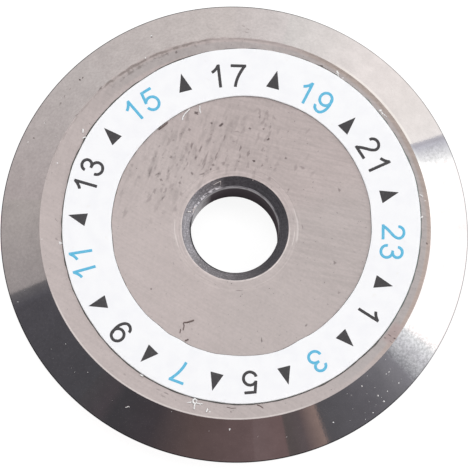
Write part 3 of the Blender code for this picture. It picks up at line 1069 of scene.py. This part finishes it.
def zone(wiring, groups, place, sector, ring=None, radius=None):
    """1 in a sector of a ring, 0 elsewhere; each is given as its middle, half width and soft edge."""
    feeds = dict(zip(("Middle", "Half Width", "Soft"), sector), Angle=place["Angle"])
    share = wiring.group(groups["sector"], feeds).outputs[0]
    if ring is None:
        return share
    feeds = dict(zip(("Middle", "Half Width", "Soft"), ring), Radius=radius or place["Radius"])
    return wiring.maths("MULTIPLY", share, wiring.group(groups["ring"], feeds).outputs[0])


def scratches(wiring, groups, place, turn, across, along):
    """Fine lines in one direction, in degrees, as a value from 0 to 1."""
    feeds = {"Place": place["Place"], "Turn": math.radians(-turn), "Across": across, "Along": along}
    return wiring.group(groups["lines"], feeds).outputs[0]


ALL_ROUND = (0.0, 180.0, 1.0)
# Arcs that the clamp's head has rubbed bright round the bore: sector and ring
CLAMP_ARCS = (
    ((359.0, 9.0, 4.0), (2.14, 0.012, 0.03)),
    ((350.0, 5.0, 4.0), (2.03, 0.006, 0.02)),
    ((13.0, 4.0, 4.0), (2.12, 0.006, 0.02)),
    ((182.0, 7.0, 4.0), (2.07, 0.006, 0.02)),
    ((193.0, 4.0, 4.0), (2.05, 0.004, 0.02)),
    ((322.0, 30.0, 10.0), (1.86, 0.006, 0.02)),
    ((232.0, 60.0, 10.0), (1.84, 0.004, 0.02)),
)


def lapped_tint(wiring, groups, place):
    """The face's tint before its scratches: paler on the left, duller above, browner along its right rim."""
    tint = wiring.blend(zone(wiring, groups, place, (192.0, 52.0, 30.0)), colour(FACE), colour(FACE_LEFT))
    upper = zone(wiring, groups, place, (72.0, 40.0, 26.0))
    tint = wiring.blend(upper, tint, colour(FACE_UPPER))
    beside_label = zone(wiring, groups, place, (36.0, 84.0, 20.0), (FACE_RADIUS - 0.285, 0.12, 0.05))
    tint = wiring.blend(wiring.maths("MULTIPLY", beside_label, 0.6), tint, colour(FACE_BESIDE_LABEL))
    outer = zone(wiring, groups, place, (12.0, 44.0, 22.0), (FACE_RADIUS - 0.025, 0.07, 0.07))
    tint = wiring.blend(outer, tint, colour(FACE_OUTER_RIGHT))
    upper_rim = zone(wiring, groups, place, (38.0, 22.0, 14.0), (FACE_RADIUS - 0.065, 0.06, 0.06))
    tint = wiring.blend(wiring.maths("MULTIPLY", upper_rim, 0.6), tint, colour(FACE_UPPER_RIM))
    stain = zone(wiring, groups, place, (122.0, 15.0, 12.0), (FACE_RADIUS - 0.235, 0.20, 0.15))
    tint = wiring.shade(tint, stain, 1.0, 0.925)
    corner = zone(wiring, groups, place, (326.0, 2.0, 2.5), (FACE_RADIUS - 0.185, 0.12, 0.1))
    return wiring.blend(corner, tint, colour(FACE_CORNER_STAIN))


def crumbled_rim_shade(wiring, groups, place, tint):
    """A tint darkened where the rim of the face has crumbled: painted shade in the chips."""
    feeds = {name: place[name] for name in ("Place", "Radius", "Angle")}
    return wiring.blend(wiring.group(groups["rim"], feeds).outputs[0], tint, colour(CHIP_SHADE))


def painted_rim_highlight(wiring, groups, place):
    """The painted highlight along the rim of the face on its lower left: a bright line."""
    return zone(wiring, groups, place, (247.0, 41.0, 8.0), (FACE_RADIUS - 0.025, 0.012, 0.022))


def clamp_rub(wiring, groups, place, tint):
    """The face's tint with the turning scratches and bright arcs that the clamp's head has left."""
    turning = wiring.group(groups["rings"], {"Place": place["Place"], "Radius": place["Radius"]}).outputs[0]
    rubbed = zone(wiring, groups, place, ALL_ROUND, (1.98, 0.12, 0.25))
    tint = wiring.shade(tint, wiring.maths("MULTIPLY", turning, rubbed), 1.0, 1.10)
    arcs = 0.0
    for sector, ring in CLAMP_ARCS:
        arcs = wiring.maths("MAXIMUM", arcs, zone(wiring, groups, place, sector, ring))
    tint = wiring.blend(wiring.maths("MULTIPLY", arcs, 0.55), tint, colour(WORN_AND_HIGHLIT_CARBIDE))
    corner = zone(wiring, groups, place, ALL_ROUND, (CHAMFER_RADIUS + 0.03, 0.02, 0.025))
    chipped = wiring.ramp(wiring.noise(place["Place"], 3.0), 0.35, 0.6)
    return wiring.shade(tint, wiring.maths("MULTIPLY", corner, chipped), 1.0, 1.14)


def lapped_colour(wiring, groups, place):
    """The face's colour under crossing scratches, grain, smears, clamp marks, rim wear, a painted highlight
    and painted shade along the rim, and the scratches and the grain by themselves."""
    upper = zone(wiring, groups, place, (112.0, 38.0, 34.0))
    right = zone(wiring, groups, place, (30.0, 56.0, 26.0))
    steep = scratches(wiring, groups, place, 72.0, 7.0, 1.3)
    level = scratches(wiring, groups, place, -11.0, 7.5, 0.45)
    slant = scratches(wiring, groups, place, -31.0, 11.0, 0.35)
    grain = wiring.noise(place["Place"], 12.0, 3.0, 0.6)
    cloud = wiring.noise(place["Place"], 1.3, 3.0)
    smears = wiring.ramp(wiring.noise(scratch_place(wiring, place, 71.0, 3.4, 1.0), 1.0, 2.0), 0.52, 0.68)
    smeared = zone(wiring, groups, place, (122.0, 26.0, 24.0), (3.0, 0.9, 0.6))
    smears = wiring.maths("MULTIPLY", smears, smeared)

    tint = lapped_tint(wiring, groups, place)
    tint = wiring.shade(tint, wiring.maths("MULTIPLY", steep, upper), 1.01, 0.955)
    tint = wiring.shade(tint, wiring.maths("MULTIPLY", level, right), 1.015, 0.94)
    tint = wiring.shade(tint, slant, 1.022, 0.978)
    tint = wiring.shade(tint, grain, 0.87, 1.13)
    tint = wiring.shade(tint, cloud, 0.94, 1.06)
    tint = wiring.shade(tint, smears, 1.0, 0.86)
    tint = clamp_rub(wiring, groups, place, tint)
    # painted highlight: a bright line along the face's rim on the lower left
    bright = wiring.maths("MULTIPLY", painted_rim_highlight(wiring, groups, place), 0.55)
    tint = wiring.blend(bright, tint, colour(WORN_AND_HIGHLIT_CARBIDE))
    tint = crumbled_rim_shade(wiring, groups, place, tint)
    return tint, wiring.maths("MULTIPLY_ADD", steep, upper, slant), grain


def lapped_material(groups, name="lapped_carbide", pit_attribute=None):
    """The flat faces: satin carbide. With an attribute's name it is the painted shade of the pits, as dark
    as the attribute says."""
    material, wiring, surface = new_material(name)
    place = wiring.group(groups["place"]).outputs
    tint, scratched, grain = lapped_colour(wiring, groups, place)
    if pit_attribute:
        # painted shade in the pits, as dark as their depth of tone
        depth = wiring.node("ShaderNodeAttribute", attribute_name=pit_attribute).outputs["Fac"]
        tint = wiring.blend(depth, tint, colour(DARK_PIT_SHADE))
    wiring.feed(surface.inputs["Base Color"], tint)
    wiring.feed(surface.inputs["Roughness"], wiring.ramp(grain, 0.2, 0.8, 0.27, 0.34))
    surface.inputs["Metallic"].default_value = 0.6
    surface.inputs["Specular IOR Level"].default_value = 0.0
    bump = wiring.node("ShaderNodeBump", {"Height": scratched, "Strength": 0.3, "Distance": -0.001 * MM})
    wiring.feed(surface.inputs["Normal"], bump.outputs[0])
    return material


def ground_material(groups):
    """The two bevels: ground to a near mirror, with a coarser grain on the right, a painted highlight along
    the inner edge on the right and an outermost edge darkened as painted shade."""
    material, wiring, surface = new_material("ground_carbide")
    place = wiring.group(groups["place"]).outputs
    grain = wiring.noise(place["Place"], 13.0, 2.0)
    cloud = wiring.noise(place["Place"], 2.0, 4.0)
    fine = wiring.noise(place["Place"], 11.0, 3.0, 0.6)
    spread = wiring.maths("MULTIPLY_ADD", zone(wiring, groups, place, (145.0, 62.0, 40.0)), 0.65, 0.35)
    fine = wiring.maths("MULTIPLY_ADD", wiring.maths("SUBTRACT", fine, 0.5), spread, 0.5)
    tint = wiring.shade(colour(CARBIDE), fine, 0.79, 1.21)
    tint = wiring.shade(tint, cloud, 0.86, 1.14)
    crystals = wiring.ramp(wiring.noise(place["Place"], 9.5, 3.0, 0.7), 0.34, 0.66)
    sugary = zone(wiring, groups, place, (325.5, 4.6, 1.6))
    sparkling = zone(wiring, groups, place, (22.0, 2.2, 1.4), (FACE_RADIUS + 0.675, 0.38, 0.15))
    sugary = wiring.maths("MAXIMUM", sugary, wiring.maths("MULTIPLY", sparkling, 0.6))
    dark_crystals = wiring.maths("MULTIPLY", wiring.maths("SUBTRACT", 1.0, crystals), sugary)
    tint = wiring.shade(tint, dark_crystals, 1.0, 0.80)
    tint = wiring.shade(tint, wiring.maths("MULTIPLY", crystals, sugary), 1.0, 1.2)
    # painted shade: the outermost edge darkened all round, less on the right
    edge = zone(wiring, groups, place, ALL_ROUND, (OUTER_RADIUS + 0.02, 0.042, 0.010))
    paler = wiring.maths("MULTIPLY_ADD", zone(wiring, groups, place, (14.0, 46.0, 20.0)), -0.35, 1.0)
    edge = wiring.maths("MULTIPLY", edge, paler)
    # painted highlight: a pale line along the bevel's inner edge on the right
    inner_highlight = zone(wiring, groups, place, (30.0, 24.0, 10.0), (FACE_RADIUS + 0.035, 0.03, 0.05))
    tint = wiring.blend(wiring.maths("MULTIPLY", inner_highlight, 0.2), tint, colour(CREAM_HIGHLIGHT))
    tint = crumbled_rim_shade(wiring, groups, place, tint)
    tint = wiring.blend(edge, tint, colour(OUTER_EDGE_SHADE))
    wiring.feed(surface.inputs["Base Color"], tint)
    surface.inputs["Metallic"].default_value = 1.0

    coarse = zone(wiring, groups, place, (347.0, 27.0, 8.0))
    middling = zone(wiring, groups, place, (308.0, 12.0, 8.0))
    strength = wiring.maths("MULTIPLY", wiring.maths("MAXIMUM", middling, coarse), 0.17)
    strength = wiring.maths("MAXIMUM", strength, 0.04)
    wiring.feed(surface.inputs["Roughness"], wiring.maths("MULTIPLY_ADD", strength, 0.1, 0.05))
    bump = wiring.node("ShaderNodeBump", {"Height": grain, "Strength": strength, "Distance": 0.004 * MM})
    wiring.feed(surface.inputs["Normal"], bump.outputs[0])
    return material


def skin_material(groups):
    """Chamfer and bore: the dark skin that the furnace left, rubbed paler on the left and below, with a
    worn corner that is also painted paler as a painted highlight. The bore's wall is matt and black, but has
    a painted sheen under that corner and on the left: a paler colour, shown as metal."""
    material, wiring, surface = new_material("bore_skin")
    place = wiring.group(groups["place"]).outputs
    grain = wiring.noise(place["Place"], 15.0, 3.0, 0.6)
    lower = wiring.maths("MULTIPLY", zone(wiring, groups, place, (262.0, 2.0, 56.0)), 0.75)
    rubbed = wiring.maths("MAXIMUM", zone(wiring, groups, place, (190.0, 73.0, 18.0)), lower)
    turning = wiring.group(groups["rings"], {"Place": place["Place"], "Radius": place["Radius"],
                                             "Across": 32.0}).outputs[0]
    speckle = wiring.ramp(wiring.noise(place["Place"], 17.0, 2.0), 0.52, 0.66)
    skin = wiring.blend(rubbed, colour(FURNACE_SKIN), colour(RUBBED_SKIN))
    # painted reflection: the chamfer made paler on a small sector near 210 degrees
    skin = wiring.shade(skin, zone(wiring, groups, place, (210.0, 6.0, 10.0)), 1.0, 1.22)
    skin = wiring.shade(skin, turning, 0.90, 1.14)
    skin = wiring.shade(skin, grain, 0.45, 1.55)
    skin = wiring.shade(skin, wiring.maths("MULTIPLY", speckle, rubbed), 0.93, 1.45)
    height = wiring.node("ShaderNodeSeparateXYZ", {0: place["Place"]}).outputs[2]
    broken = wiring.ramp(wiring.noise(place["Place"], 4.0), 0.3, 0.55, 0.4, 1.0)
    # the worn foot of the chamfer, painted paler: painted highlight
    corner = zone(wiring, groups, place, (88.0, 76.0, 14.0), (BORE_RADIUS + 0.008, 0.012, 0.014))
    corner = wiring.maths("MULTIPLY", corner, broken)
    skin = wiring.blend(corner, skin, colour(WORN_CORNER_HIGHLIGHT))
    # painted sheen on the bore's wall: a paler colour, shown as metal, in a band under the corner and on the
    # left
    rounded = zone(wiring, groups, place, (86.0, 34.0, 72.0), (BORE_HIGH - 0.06, 0.08, 0.12), height)
    sheen = wiring.maths("MULTIPLY", wiring.maths("MULTIPLY", rounded, broken), 0.62)
    left_sheen = wiring.maths("MULTIPLY", zone(wiring, groups, place, (178.0, 13.0, 44.0)), broken)
    sheen = wiring.maths("MAXIMUM", sheen, left_sheen)
    # a scuffed stretch painted near white and matt: real scuffs, with a painted highlight of their scratches
    ragged = wiring.ramp(wiring.noise(place["Place"], 9.0, 3.0, 0.7), 0.46, 0.56)
    scuffed = zone(wiring, groups, place, (138.0, 24.0, 10.0), (BORE_RADIUS + 0.055, 0.024, 0.03))
    scuffed = wiring.maths("MULTIPLY", scuffed, ragged)
    skin = wiring.blend(scuffed, skin, colour(SCUFFED_CORNER_AND_HIGHLIGHT))
    on_chamfer = wiring.ramp(place["Radius"], BORE_RADIUS + 0.004, BORE_RADIUS + 0.016)
    # painted shade: the corner of chamfer and bore darkened on the lower left, and matt
    shaded_corner = zone(wiring, groups, place, (211.0, 34.0, 26.0), (BORE_RADIUS, 0.046, 0.012))
    wall = wiring.blend(sheen, colour(BORE_SKIN), colour(BORE_SHEEN))
    skin = wiring.blend(on_chamfer, wall, skin)
    skin = wiring.blend(shaded_corner, skin, colour(SHADED_CORNER))
    matt = wiring.maths("MAXIMUM", shaded_corner, wiring.maths("MULTIPLY", scuffed, 0.7))
    shiny = wiring.maths("MAXIMUM", on_chamfer, sheen)
    shiny = wiring.maths("MULTIPLY", shiny, wiring.maths("SUBTRACT", 1.0, matt))
    wiring.feed(surface.inputs["Base Color"], skin)
    wiring.feed(surface.inputs["Metallic"], shiny)
    wiring.feed(surface.inputs["Specular IOR Level"], wiring.maths("MULTIPLY", shiny, 0.5))
    wiring.feed(surface.inputs["Roughness"], wiring.ramp(grain, 0.2, 0.8, 0.30, 0.44))
    bump = wiring.node("ShaderNodeBump", {"Height": grain, "Strength": 0.5, "Distance": 0.012 * MM})
    wiring.feed(surface.inputs["Normal"], bump.outputs[0])
    return material


def glint_material(groups):
    """Freshly broken carbide, painted pale for its glints: painted highlight."""
    material, wiring, surface = new_material("chipped_carbide_glint")
    place = wiring.group(groups["place"]).outputs
    tint = wiring.shade(colour(WORN_AND_HIGHLIT_CARBIDE), wiring.noise(place["Place"], 20.0), 0.6, 1.4)
    wiring.feed(surface.inputs["Base Color"], tint)
    surface.inputs["Metallic"].default_value = 1.0
    surface.inputs["Roughness"].default_value = 0.4
    return material


def film_material(groups):
    """White label film: faintly glossy, with the finest mottling and a few soiled spots."""
    material, wiring, surface = new_material("white_film")
    place = wiring.group(groups["place"]).outputs
    mottle = wiring.noise(place["Place"], 2.2, 3.0)
    tint = wiring.blend(wiring.ramp(mottle, 0.35, 0.7), colour(FILM_WHITE), colour(FILM_SHADE))
    soil = wiring.ramp(wiring.noise(place["Place"], 3.7, 1.0), 0.70, 0.78, 0.0, 0.12)
    wiring.feed(surface.inputs["Base Color"], wiring.blend(soil, tint, colour(FILM_SOIL)))
    wiring.feed(surface.inputs["Roughness"], wiring.ramp(mottle, 0.3, 0.7, 0.42, 0.5))
    surface.inputs["Specular IOR Level"].default_value = 0.3
    bump = wiring.node("ShaderNodeBump", {"Height": mottle, "Strength": 0.2, "Distance": 0.004 * MM})
    wiring.feed(surface.inputs["Normal"], bump.outputs[0])
    return material


def ink_material(groups, name, ink, thin_ink):
    """Printed ink that lies a little unevenly, so that the film shows through where it is thin."""
    material, wiring, surface = new_material(name)
    place = wiring.group(groups["place"]).outputs
    cover = wiring.noise(place["Place"], 11.0, 2.0)
    wiring.feed(surface.inputs["Base Color"], wiring.blend(wiring.ramp(cover, 0.45, 0.8, 0.0, 0.5),
                                                           colour(ink), colour(thin_ink)))
    wiring.feed(surface.inputs["Roughness"], wiring.ramp(cover, 0.3, 0.7, 0.45, 0.6))
    surface.inputs["Specular IOR Level"].default_value = 0.3
    return material


def adhesive_and_shadow_material(groups):
    """The line of soiled adhesive, which also stands for the shadow along the label's edges (painted
    shadow): dark grey, and a dull grey green on the right, where it is thin.
    """
    material, wiring, surface = new_material("soiled_adhesive_and_shadow")
    place = wiring.group(groups["place"]).outputs
    mottle = wiring.ramp(wiring.noise(place["Place"], 5.0, 2.0), 0.35, 0.65)
    tint = wiring.blend(mottle, colour(GRIME_AND_SHADOW), colour(DARK_GRIME_AND_SHADOW))
    thin = zone(wiring, groups, place, (10.0, 40.0, 10.0))
    thin = wiring.maths("MULTIPLY", thin, wiring.maths("MULTIPLY_ADD", mottle, 0.4, 0.6))
    wiring.feed(surface.inputs["Base Color"], wiring.blend(thin, tint, colour(THIN_GRIME_AND_SHADOW)))
    wiring.feed(surface.inputs["Roughness"], wiring.ramp(mottle, 0.0, 1.0, 0.5, 0.8))
    return material


def matt_material(groups, name, first, second, scale):
    """A matt surface that is mottled between two colours."""
    material, wiring, surface = new_material(name)
    place = wiring.group(groups["place"]).outputs
    mottle = wiring.ramp(wiring.noise(place["Place"], scale, 2.0), 0.35, 0.65)
    wiring.feed(surface.inputs["Base Color"], wiring.blend(mottle, colour(first), colour(second)))
    wiring.feed(surface.inputs["Roughness"], wiring.ramp(mottle, 0.0, 1.0, 0.6, 0.8))
    return material


# Studio

def view_axes():
    """The directions towards the camera, to the right of its picture and up in it."""
    tilt, turn = math.radians(VIEW_TILT), math.radians(VIEW_TURN)
    back = Vector((math.sin(tilt) * math.cos(turn), math.sin(tilt) * math.sin(turn), math.cos(tilt)))
    right = Vector((0, 1, 0)).cross(back).normalized()
    return back, right, back.cross(right)


def make_camera():
    """The photograph's view, from far off and nearly straight above."""
    back, right, up = view_axes()
    place = Vector((0, 0, TOP / 2)) + back * VIEW_DISTANCE
    place += right * (FRAME_MIDDLE - AXIS_PIXEL[0]) / PIXELS_PER_MM
    place -= up * (FRAME_MIDDLE - AXIS_PIXEL[1]) / PIXELS_PER_MM
    data = bpy.data.cameras.new("camera")
    data.sensor_width = SENSOR_WIDTH
    data.lens = SENSOR_WIDTH * PIXELS_PER_MM * VIEW_DISTANCE / FRAME_PIXELS
    data.clip_start = 0.1
    data.clip_end = 10.0
    camera = add_object("camera", data)
    turn = Matrix((right, up, back)).transposed().to_4x4()
    camera.matrix_world = Matrix.Translation(place * MM) @ turn
    bpy.context.scene.camera = camera


# How far off the cards stand, and half their height in degrees as the blade sees them
CARD_DISTANCE = 300.0
CARD_HALF_HEIGHT = 8.0

# Cards round the blade: name, bevel angles that mirror it from and to, and its colour at either end
CARDS = (
    ("window_glow", 379.5, 381.0, (2.0, 2.3, 2.35), (1.55, 1.78, 1.85)),
    ("window_frame", 381.0, 385.0, (1.55, 1.78, 1.85), (0.93, 1.06, 1.22)),
    ("window_bar", 385.0, 386.3, (0.82, 0.92, 1.05), (0.84, 0.94, 1.07)),
    ("window_bounce", 386.3, 398.0, (1.62, 1.76, 1.76), (1.52, 1.63, 1.62)),
    ("back_wall_near", 398.0, 412.0, (1.55, 1.66, 1.65), (1.57, 1.67, 1.67)),
    ("back_wall_right", 412.0, 436.0, (1.55, 1.65, 1.65), (1.22, 1.33, 1.33)),
    ("back_wall_turn", 436.0, 450.0, (1.25, 1.33, 1.34), (1.09, 1.14, 1.14)),
    ("back_wall", 450.0, 490.0, (1.11, 1.16, 1.15), (0.95, 0.99, 0.99)),
    ("side_wall", 490.0, 532.0, (0.96, 1.01, 1.01), (0.77, 0.78, 0.79)),
    ("side_wall_end", 532.0, 556.1, (0.76, 0.79, 0.78), (0.57, 0.59, 0.60)),
    ("dark_opening", 196.1, 200.0, (0.245, 0.265, 0.285), (0.145, 0.16, 0.19)),
    ("black_flag", 200.0, 228.0, (0.14, 0.153, 0.178), (0.12, 0.133, 0.152)),
    ("black_flag_end", 228.0, 234.3, (0.12, 0.13, 0.145), (0.125, 0.122, 0.14)),
    ("bench_turn", 234.3, 237.0, (0.124, 0.122, 0.139), (0.091, 0.099, 0.113)),
    ("bench_shade", 237.0, 248.0, (0.091, 0.099, 0.113), (0.10, 0.097, 0.112)),
    ("bench_near", 248.0, 258.0, (0.10, 0.097, 0.11), (0.186, 0.152, 0.152)),
    ("bench_front", 258.0, 275.0, (0.180, 0.145, 0.145), (0.25, 0.197, 0.203)),
    ("bench_corner", 275.0, 283.6, (0.285, 0.232, 0.24), (0.278, 0.214, 0.218)),
    ("bench_gap", 283.6, 288.5, (0.165, 0.16, 0.162), (0.196, 0.18, 0.194)),
    ("bench_edge", 288.5, 293.7, (0.20, 0.177, 0.188), (0.49, 0.40, 0.365)),
    ("grey_flag", 293.7, 309.0, (0.155, 0.172, 0.192), (0.232, 0.254, 0.292)),
    ("grey_flag_end", 309.0, 315.0, (0.238, 0.264, 0.301), (0.303, 0.338, 0.381)),
    ("softbox_fall_off", 315.0, 320.3, (0.316, 0.352, 0.392), (0.42, 0.47, 0.532)),
    ("softbox_rim", 320.3, 324.5, (0.52, 0.60, 0.66), (1.06, 1.22, 1.30)),
    ("softbox_edge", 324.5, 329.4, (0.95, 1.08, 1.18), (1.50, 1.75, 1.82)),
    ("softbox", 329.4, 379.5, (2.2, 2.38, 2.42), (2.2, 2.38, 2.42)),
)


def mirrored_directions(angles):
    """Where the top bevel at each angle sends the camera's line of sight: r = 2 (n.b) n - b."""
    back = np.array(view_axes()[0])
    normals = np.stack([math.sin(BEVEL_ANGLE) * np.cos(angles), math.sin(BEVEL_ANGLE) * np.sin(angles),
                        np.full_like(angles, math.cos(BEVEL_ANGLE))], -1)
    return 2 * (normals @ back)[:, None] * normals - back


def card_skin(start, end):
    """A strip of card along the directions that the bevel mirrors from start to end degrees:
    place = distance * (r cos w + s sin w), where w runs over the strip's height and s is square to r
    and to the strip's own run."""
    angles = np.radians(np.linspace(start, end, max(3, int((end - start) / 1.5))))
    ahead = mirrored_directions(angles)
    along = mirrored_directions(angles + 0.001) - mirrored_directions(angles - 0.001)
    upward = np.cross(ahead, along)
    upward /= np.linalg.norm(upward, axis=1, keepdims=True)
    reach = np.radians(np.linspace(-CARD_HALF_HEIGHT, CARD_HALF_HEIGHT, 7))[:, None]
    spread = ahead[:, None] * np.cos(reach) + upward[:, None] * np.sin(reach)
    return CARD_DISTANCE * spread


def card_material():
    """A plain glow in the colours that are kept on a card's points."""
    material = bpy.data.materials.new("card")
    material.use_nodes = True
    material.node_tree.nodes.clear()
    wiring = Wiring(material.node_tree)
    tone = wiring.node("ShaderNodeAttribute", attribute_name="tone").outputs["Color"]
    glow = wiring.node("ShaderNodeEmission", {"Color": tone})
    wiring.node("ShaderNodeOutputMaterial", {"Surface": glow.outputs[0]})
    return material


def make_cards():
    """The studio's cards and flags. Only shiny surfaces see them; they light and shade nothing else."""
    material = card_material()
    for name, start, end, at_start, at_end in CARDS:
        places = card_skin(start, end)
        rows, columns = places.shape[:2]
        mesh = bpy.data.meshes.new(name)
        mesh.from_pydata((places.reshape(-1, 3) * MM).tolist(), [], lattice(rows, columns).tolist())
        mesh.materials.append(material)
        share = np.linspace(0, 1, rows)[:, None]
        levels = (1 - share) * colour(at_start) + share * colour(at_end)
        tone = mesh.attributes.new("tone", "FLOAT_COLOR", "POINT")
        tone.data.foreach_set("color", np.repeat(levels, columns, 0).ravel().astype(np.float32))
        card = add_object(name, mesh)
        for kind in ("camera", "diffuse", "shadow", "transmission"):
            setattr(card, "visible_" + kind, False)


def sees_background(wiring):
    """1 for rays from the camera, from shiny surfaces and through glass."""
    path = wiring.node("ShaderNodeLightPath").outputs
    first = wiring.maths("MAXIMUM", path["Is Camera Ray"], path["Is Glossy Ray"])
    return wiring.maths("MAXIMUM", first, path["Is Transmission Ray"])


FLOOR_SIZE = 2000.0
FLOOR_DROP = 0.01
FLOOR_GREY = (0.25, 0.25, 0.25, 1.0)
FLOOR_GLOW = 0.87


def make_floor():
    """A pale table top that shows white, with the blade's soft shadow on it."""
    half = FLOOR_SIZE / 2
    corners = [(-half, -half), (half, -half), (half, half), (-half, half)]
    mesh = bpy.data.meshes.new("floor")
    mesh.from_pydata([(x * MM, y * MM, -FLOOR_DROP * MM) for x, y in corners], [], [(0, 1, 2, 3)])
    material, wiring, surface = new_material("floor")
    surface.inputs["Base Color"].default_value = FLOOR_GREY
    surface.inputs["Roughness"].default_value = 0.9
    surface.inputs["Specular IOR Level"].default_value = 0.0
    strength = wiring.maths("MULTIPLY", sees_background(wiring), FLOOR_GLOW)
    glow = wiring.node("ShaderNodeEmission", {"Strength": strength})
    both = wiring.node("ShaderNodeAddShader", {0: surface.outputs[0], 1: glow.outputs[0]})
    output = material.node_tree.nodes["Material Output"]
    wiring.feed(output.inputs["Surface"], both.outputs[0])
    mesh.materials.append(material)
    floor = add_object("floor", mesh)


WORLD_LIGHT = 0.55
# Lamps: (name, place, size, power in watts)
LAMPS = (
    ("key_lamp", (420.0, 60.0, 420.0), 300.0, 1.25),
    ("top_lamp", (-120.0, 220.0, 560.0), 400.0, 1.2),
)


def make_light():
    """An even white surround, a large soft lamp on the right and a second one overhead."""
    world = bpy.data.worlds.new("surround")
    world.use_nodes = True
    bpy.context.scene.world = world
    wiring = Wiring(world.node_tree)
    strength = wiring.ramp(sees_background(wiring), 0.0, 1.0, WORLD_LIGHT, 1.0)
    background = world.node_tree.nodes["Background"]
    background.inputs["Color"].default_value = (1, 1, 1, 1)
    wiring.feed(background.inputs["Strength"], strength)
    for name, place, size, power in LAMPS:
        data = bpy.data.lights.new(name, "AREA")
        data.size = size * MM
        data.energy = power
        lamp = add_object(name, data)
        lamp.location = Vector(place) * MM
        lamp.rotation_euler = Vector(place).to_track_quat("Z", "Y").to_euler()
        lamp.visible_camera = False
        lamp.visible_glossy = False


def make_blade():
    """The disc, the label with its print, and what lies on them."""
    groups = {"place": place_group(), "sector": sector_group(), "ring": ring_group(),
              "lines": lines_group(), "rings": rings_group(), "rim": rim_group()}
    make_disc(lapped_material(groups), ground_material(groups), skin_material(groups))
    make_label(film_material(groups))
    make_beads(adhesive_and_shadow_material(groups))
    black = ink_material(groups, "black_ink", BLACK_INK, THIN_BLACK_INK)
    blue = ink_material(groups, "blue_ink", BLUE_INK, THIN_BLUE_INK)
    make_print(black, blue)
    dust = matt_material(groups, "white_dust_and_glints", DUST_WHITE, DUST_SHADE, 20.0)
    fibre = matt_material(groups, "dark_fibre_and_shadow", DARK_FIBRE_AND_SHADOW, FIBRE_SHADE, 20.0)
    make_dust(dust, fibre, glint_material(groups))
    make_pits(lapped_material(groups, "pit_shade", "depth"))


def set_picture():
    """Plain colours, with no added contrast."""
    bpy.context.scene.view_settings.view_transform = "Standard"


make_camera()
make_light()
make_cards()
make_floor()
make_blade()
set_picture()
